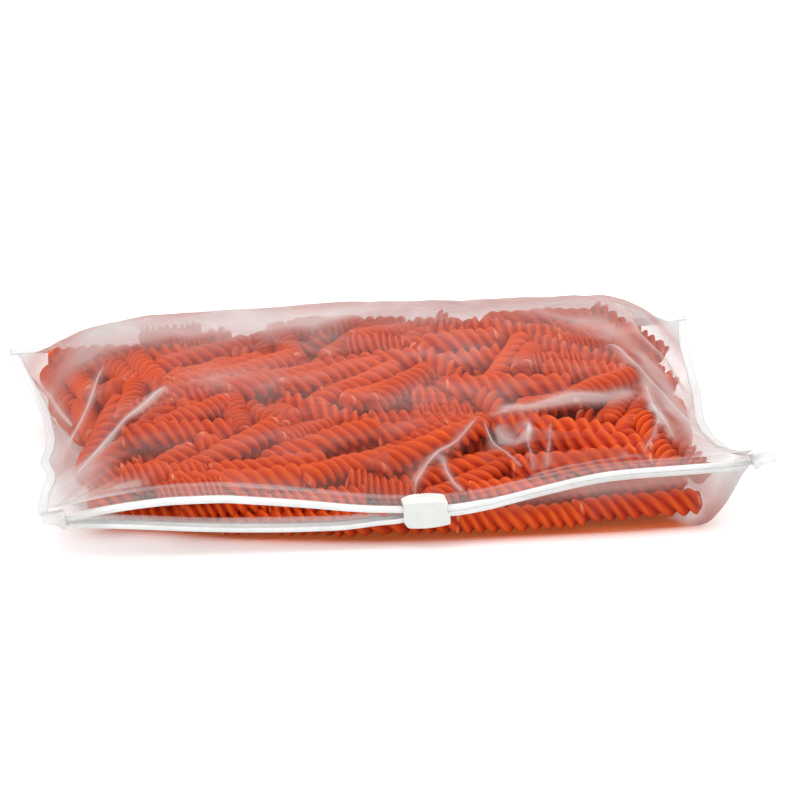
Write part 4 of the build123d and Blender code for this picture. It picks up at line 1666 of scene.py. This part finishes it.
# ------------------------------------------------------------------ table, light and camera
@dataclass
class Studio:
    """White table with a painted orange-tinted shadow round the bag, soft lamps and the camera."""

    form: BagForm
    # Reach and colour of the painted orange-tinted shadow that stands in for light through the pasta.
    painted_glow_reach: float = 5.0
    table_white: tuple[float, float, float] = (0.9, 0.9, 0.9)
    painted_glow_color: tuple[float, float, float] = (0.70, 0.16, 0.045)
    target: tuple[float, float, float] = (7.52, 0.0, 27.98)
    azimuth: float = -7.393
    elevation: float = 17.002
    distance: float = 2200.0
    view_angle: float = 7.853
    # Name, place and size in metres, and power in watts.
    lamps: Sequence[tuple[str, tuple[float, float, float], float, float]] = (
        ("key", (-0.7, -0.5, 1.5), 0.9, 9.5),
        ("fill", (1.2, -1.0, 0.9), 1.0, 4.5),
        ("back", (0.3, 1.3, 0.9), 0.7, 2.5),
    )

    def face(self, thing: bpy.types.Object, way: Vector) -> None:
        """Turns a camera or a lamp to look along a way."""
        thing.rotation_mode = "QUATERNION"
        thing.rotation_quaternion = way.to_track_quat("-Z", "Y")

    def camera(self) -> None:
        """Makes the camera."""
        a, e = math.radians(self.azimuth), math.radians(self.elevation)
        back = Vector((math.sin(a) * math.cos(e), -math.cos(a) * math.cos(e), math.sin(e)))
        data = bpy.data.cameras.new("camera")
        data.sensor_width = SENSOR
        data.lens = SENSOR / 2 / math.tan(math.radians(self.view_angle) / 2)
        data.clip_start, data.clip_end = 0.05, 60.0
        eye = put("camera", data)
        eye.location = (Vector(self.target) + back * self.distance) * MM
        self.face(eye, -back)
        bpy.context.scene.camera = eye

    def lamp(self, name: str, place: tuple[float, float, float], size: float, watts: float) -> None:
        """Makes a soft square lamp that faces the bag.

        Args:
            name: Name of the lamp.
            place: Its place in metres.
            size: Side of the square in metres.
            watts: Its power.
        """
        data = bpy.data.lights.new(name, "AREA")
        data.shape = "SQUARE"
        data.size = size
        data.energy = watts
        thing = put(name, data)
        thing.location = place
        self.face(thing, Vector((0, 0, 0.02)) - Vector(place))

    def world(self) -> None:
        """Makes the world: white to the camera and in reflections, softer as light."""
        world = bpy.data.worlds.new("studio")
        bpy.context.scene.world = world
        world.use_nodes = True
        n = Nodes(world.node_tree)
        path = n.add("ShaderNodeLightPath")
        mirrored = n.math("MAXIMUM", path.outputs["Is Glossy Ray"], path.outputs["Is Transmission Ray"])
        seen = n.math("MAXIMUM", path.outputs["Is Camera Ray"], mirrored)
        background = world.node_tree.nodes["Background"]
        background.inputs["Color"].default_value = (1, 1, 1, 1)
        n.link(n.ranged(seen, 0, 1, 0.86, 1.0), background.inputs["Strength"])

    def table(self) -> None:
        """Makes the table, with a painted orange-tinted shadow of light through the pasta round the bag."""
        # The points are close together round the bag, where the orange-tinted shadow is painted.
        near = np.linspace(-180, 180, 145)
        line = np.concatenate([[-4000, -1500, -600, -300], near, [300, 600, 1500, 4000]])
        x, y = np.meshgrid(line, line)
        left, _ = self.form.seam(End.LEFT, y)
        right, _ = self.form.seam(End.RIGHT, y)
        outside = np.maximum.reduce([self.form.foot(x) - y, left + 20 - x, x - right + 22, y - 84])
        # Painted orange-tinted shadow round the bag's footprint, fading out behind the bag.
        warm = np.exp(-np.maximum(outside + 3, 0) / self.painted_glow_reach) * (1 - 0.8 * smoothstep(10, 70, y))
        thing = grid_mesh("table", np.stack([x, y, 0 * x], axis=-1), {"warm": warm})
        made, n, shader = new_material("white_table")
        tint = n.ramp(n.drawn("warm"), (0.0, *self.table_white), (1.0, *self.painted_glow_color))
        n.link(tint, shader.inputs["Base Color"])
        shader.inputs["Roughness"].default_value = 0.6
        shader.inputs["Specular IOR Level"].default_value = 0.2
        path = n.add("ShaderNodeLightPath")
        seen = n.math("MAXIMUM", path.outputs["Is Camera Ray"], path.outputs["Is Transmission Ray"])
        # The emission that whitens the floor for the camera carries the painted tint as well.
        n.link(tint, shader.inputs["Emission Color"])
        n.link(n.math("MULTIPLY", seen, 0.36), shader.inputs["Emission Strength"])
        thing.data.materials.append(made)

    def build(self) -> None:
        """Sets up the camera, the table, the lamps and the world."""
        self.camera()
        self.table()
        self.world()
        for name, place, size, watts in self.lamps:
            self.lamp(name, place, size, watts)
        bpy.context.scene.view_settings.view_transform = "Standard"
        LOG.info("studio ready")


def main() -> None:
    """Builds the bag, its filling and the studio."""
    logging.basicConfig(level=logging.INFO, format="%(name)s: %(message)s")
    form = BagForm()
    Studio(form).build()
    haze, wrinkles, slopes = cloudy_haze(), soft_wrinkles(), lit_slopes()
    film_finish = FilmFinish("frosted_film").material(haze, wrinkles, slopes)
    weld_finish = FilmFinish(
        "welded_film", color=(0.76, 0.76, 0.75), clear=0.2, milky=0.7, clouds=0.2, painted_sheen=0.0
    ).material(haze, wrinkles, slopes)
    track_finish = PlasticFinish("milky_zipper", solid=0.97, thin=0.1, roughness=0.28).material(wrinkles)
    slider_finish = PlasticFinish(
        "white_slider", color=(0.80, 0.82, 0.79), shade=(0.74, 0.76, 0.73), roughness=0.34
    ).material(wrinkles)
    film = Film(form)
    filling = Filling(form, film, film.upper_base())
    filling.pile()
    filling.build(PastaFinish().material())
    FilmPanels(form, film, filling).build(film_finish)
    Seals(form).build(weld_finish)
    Zipper(form).build(track_finish, weld_finish)
    Slider().dress(slider_finish)


if __name__ == "__main__":
    main()
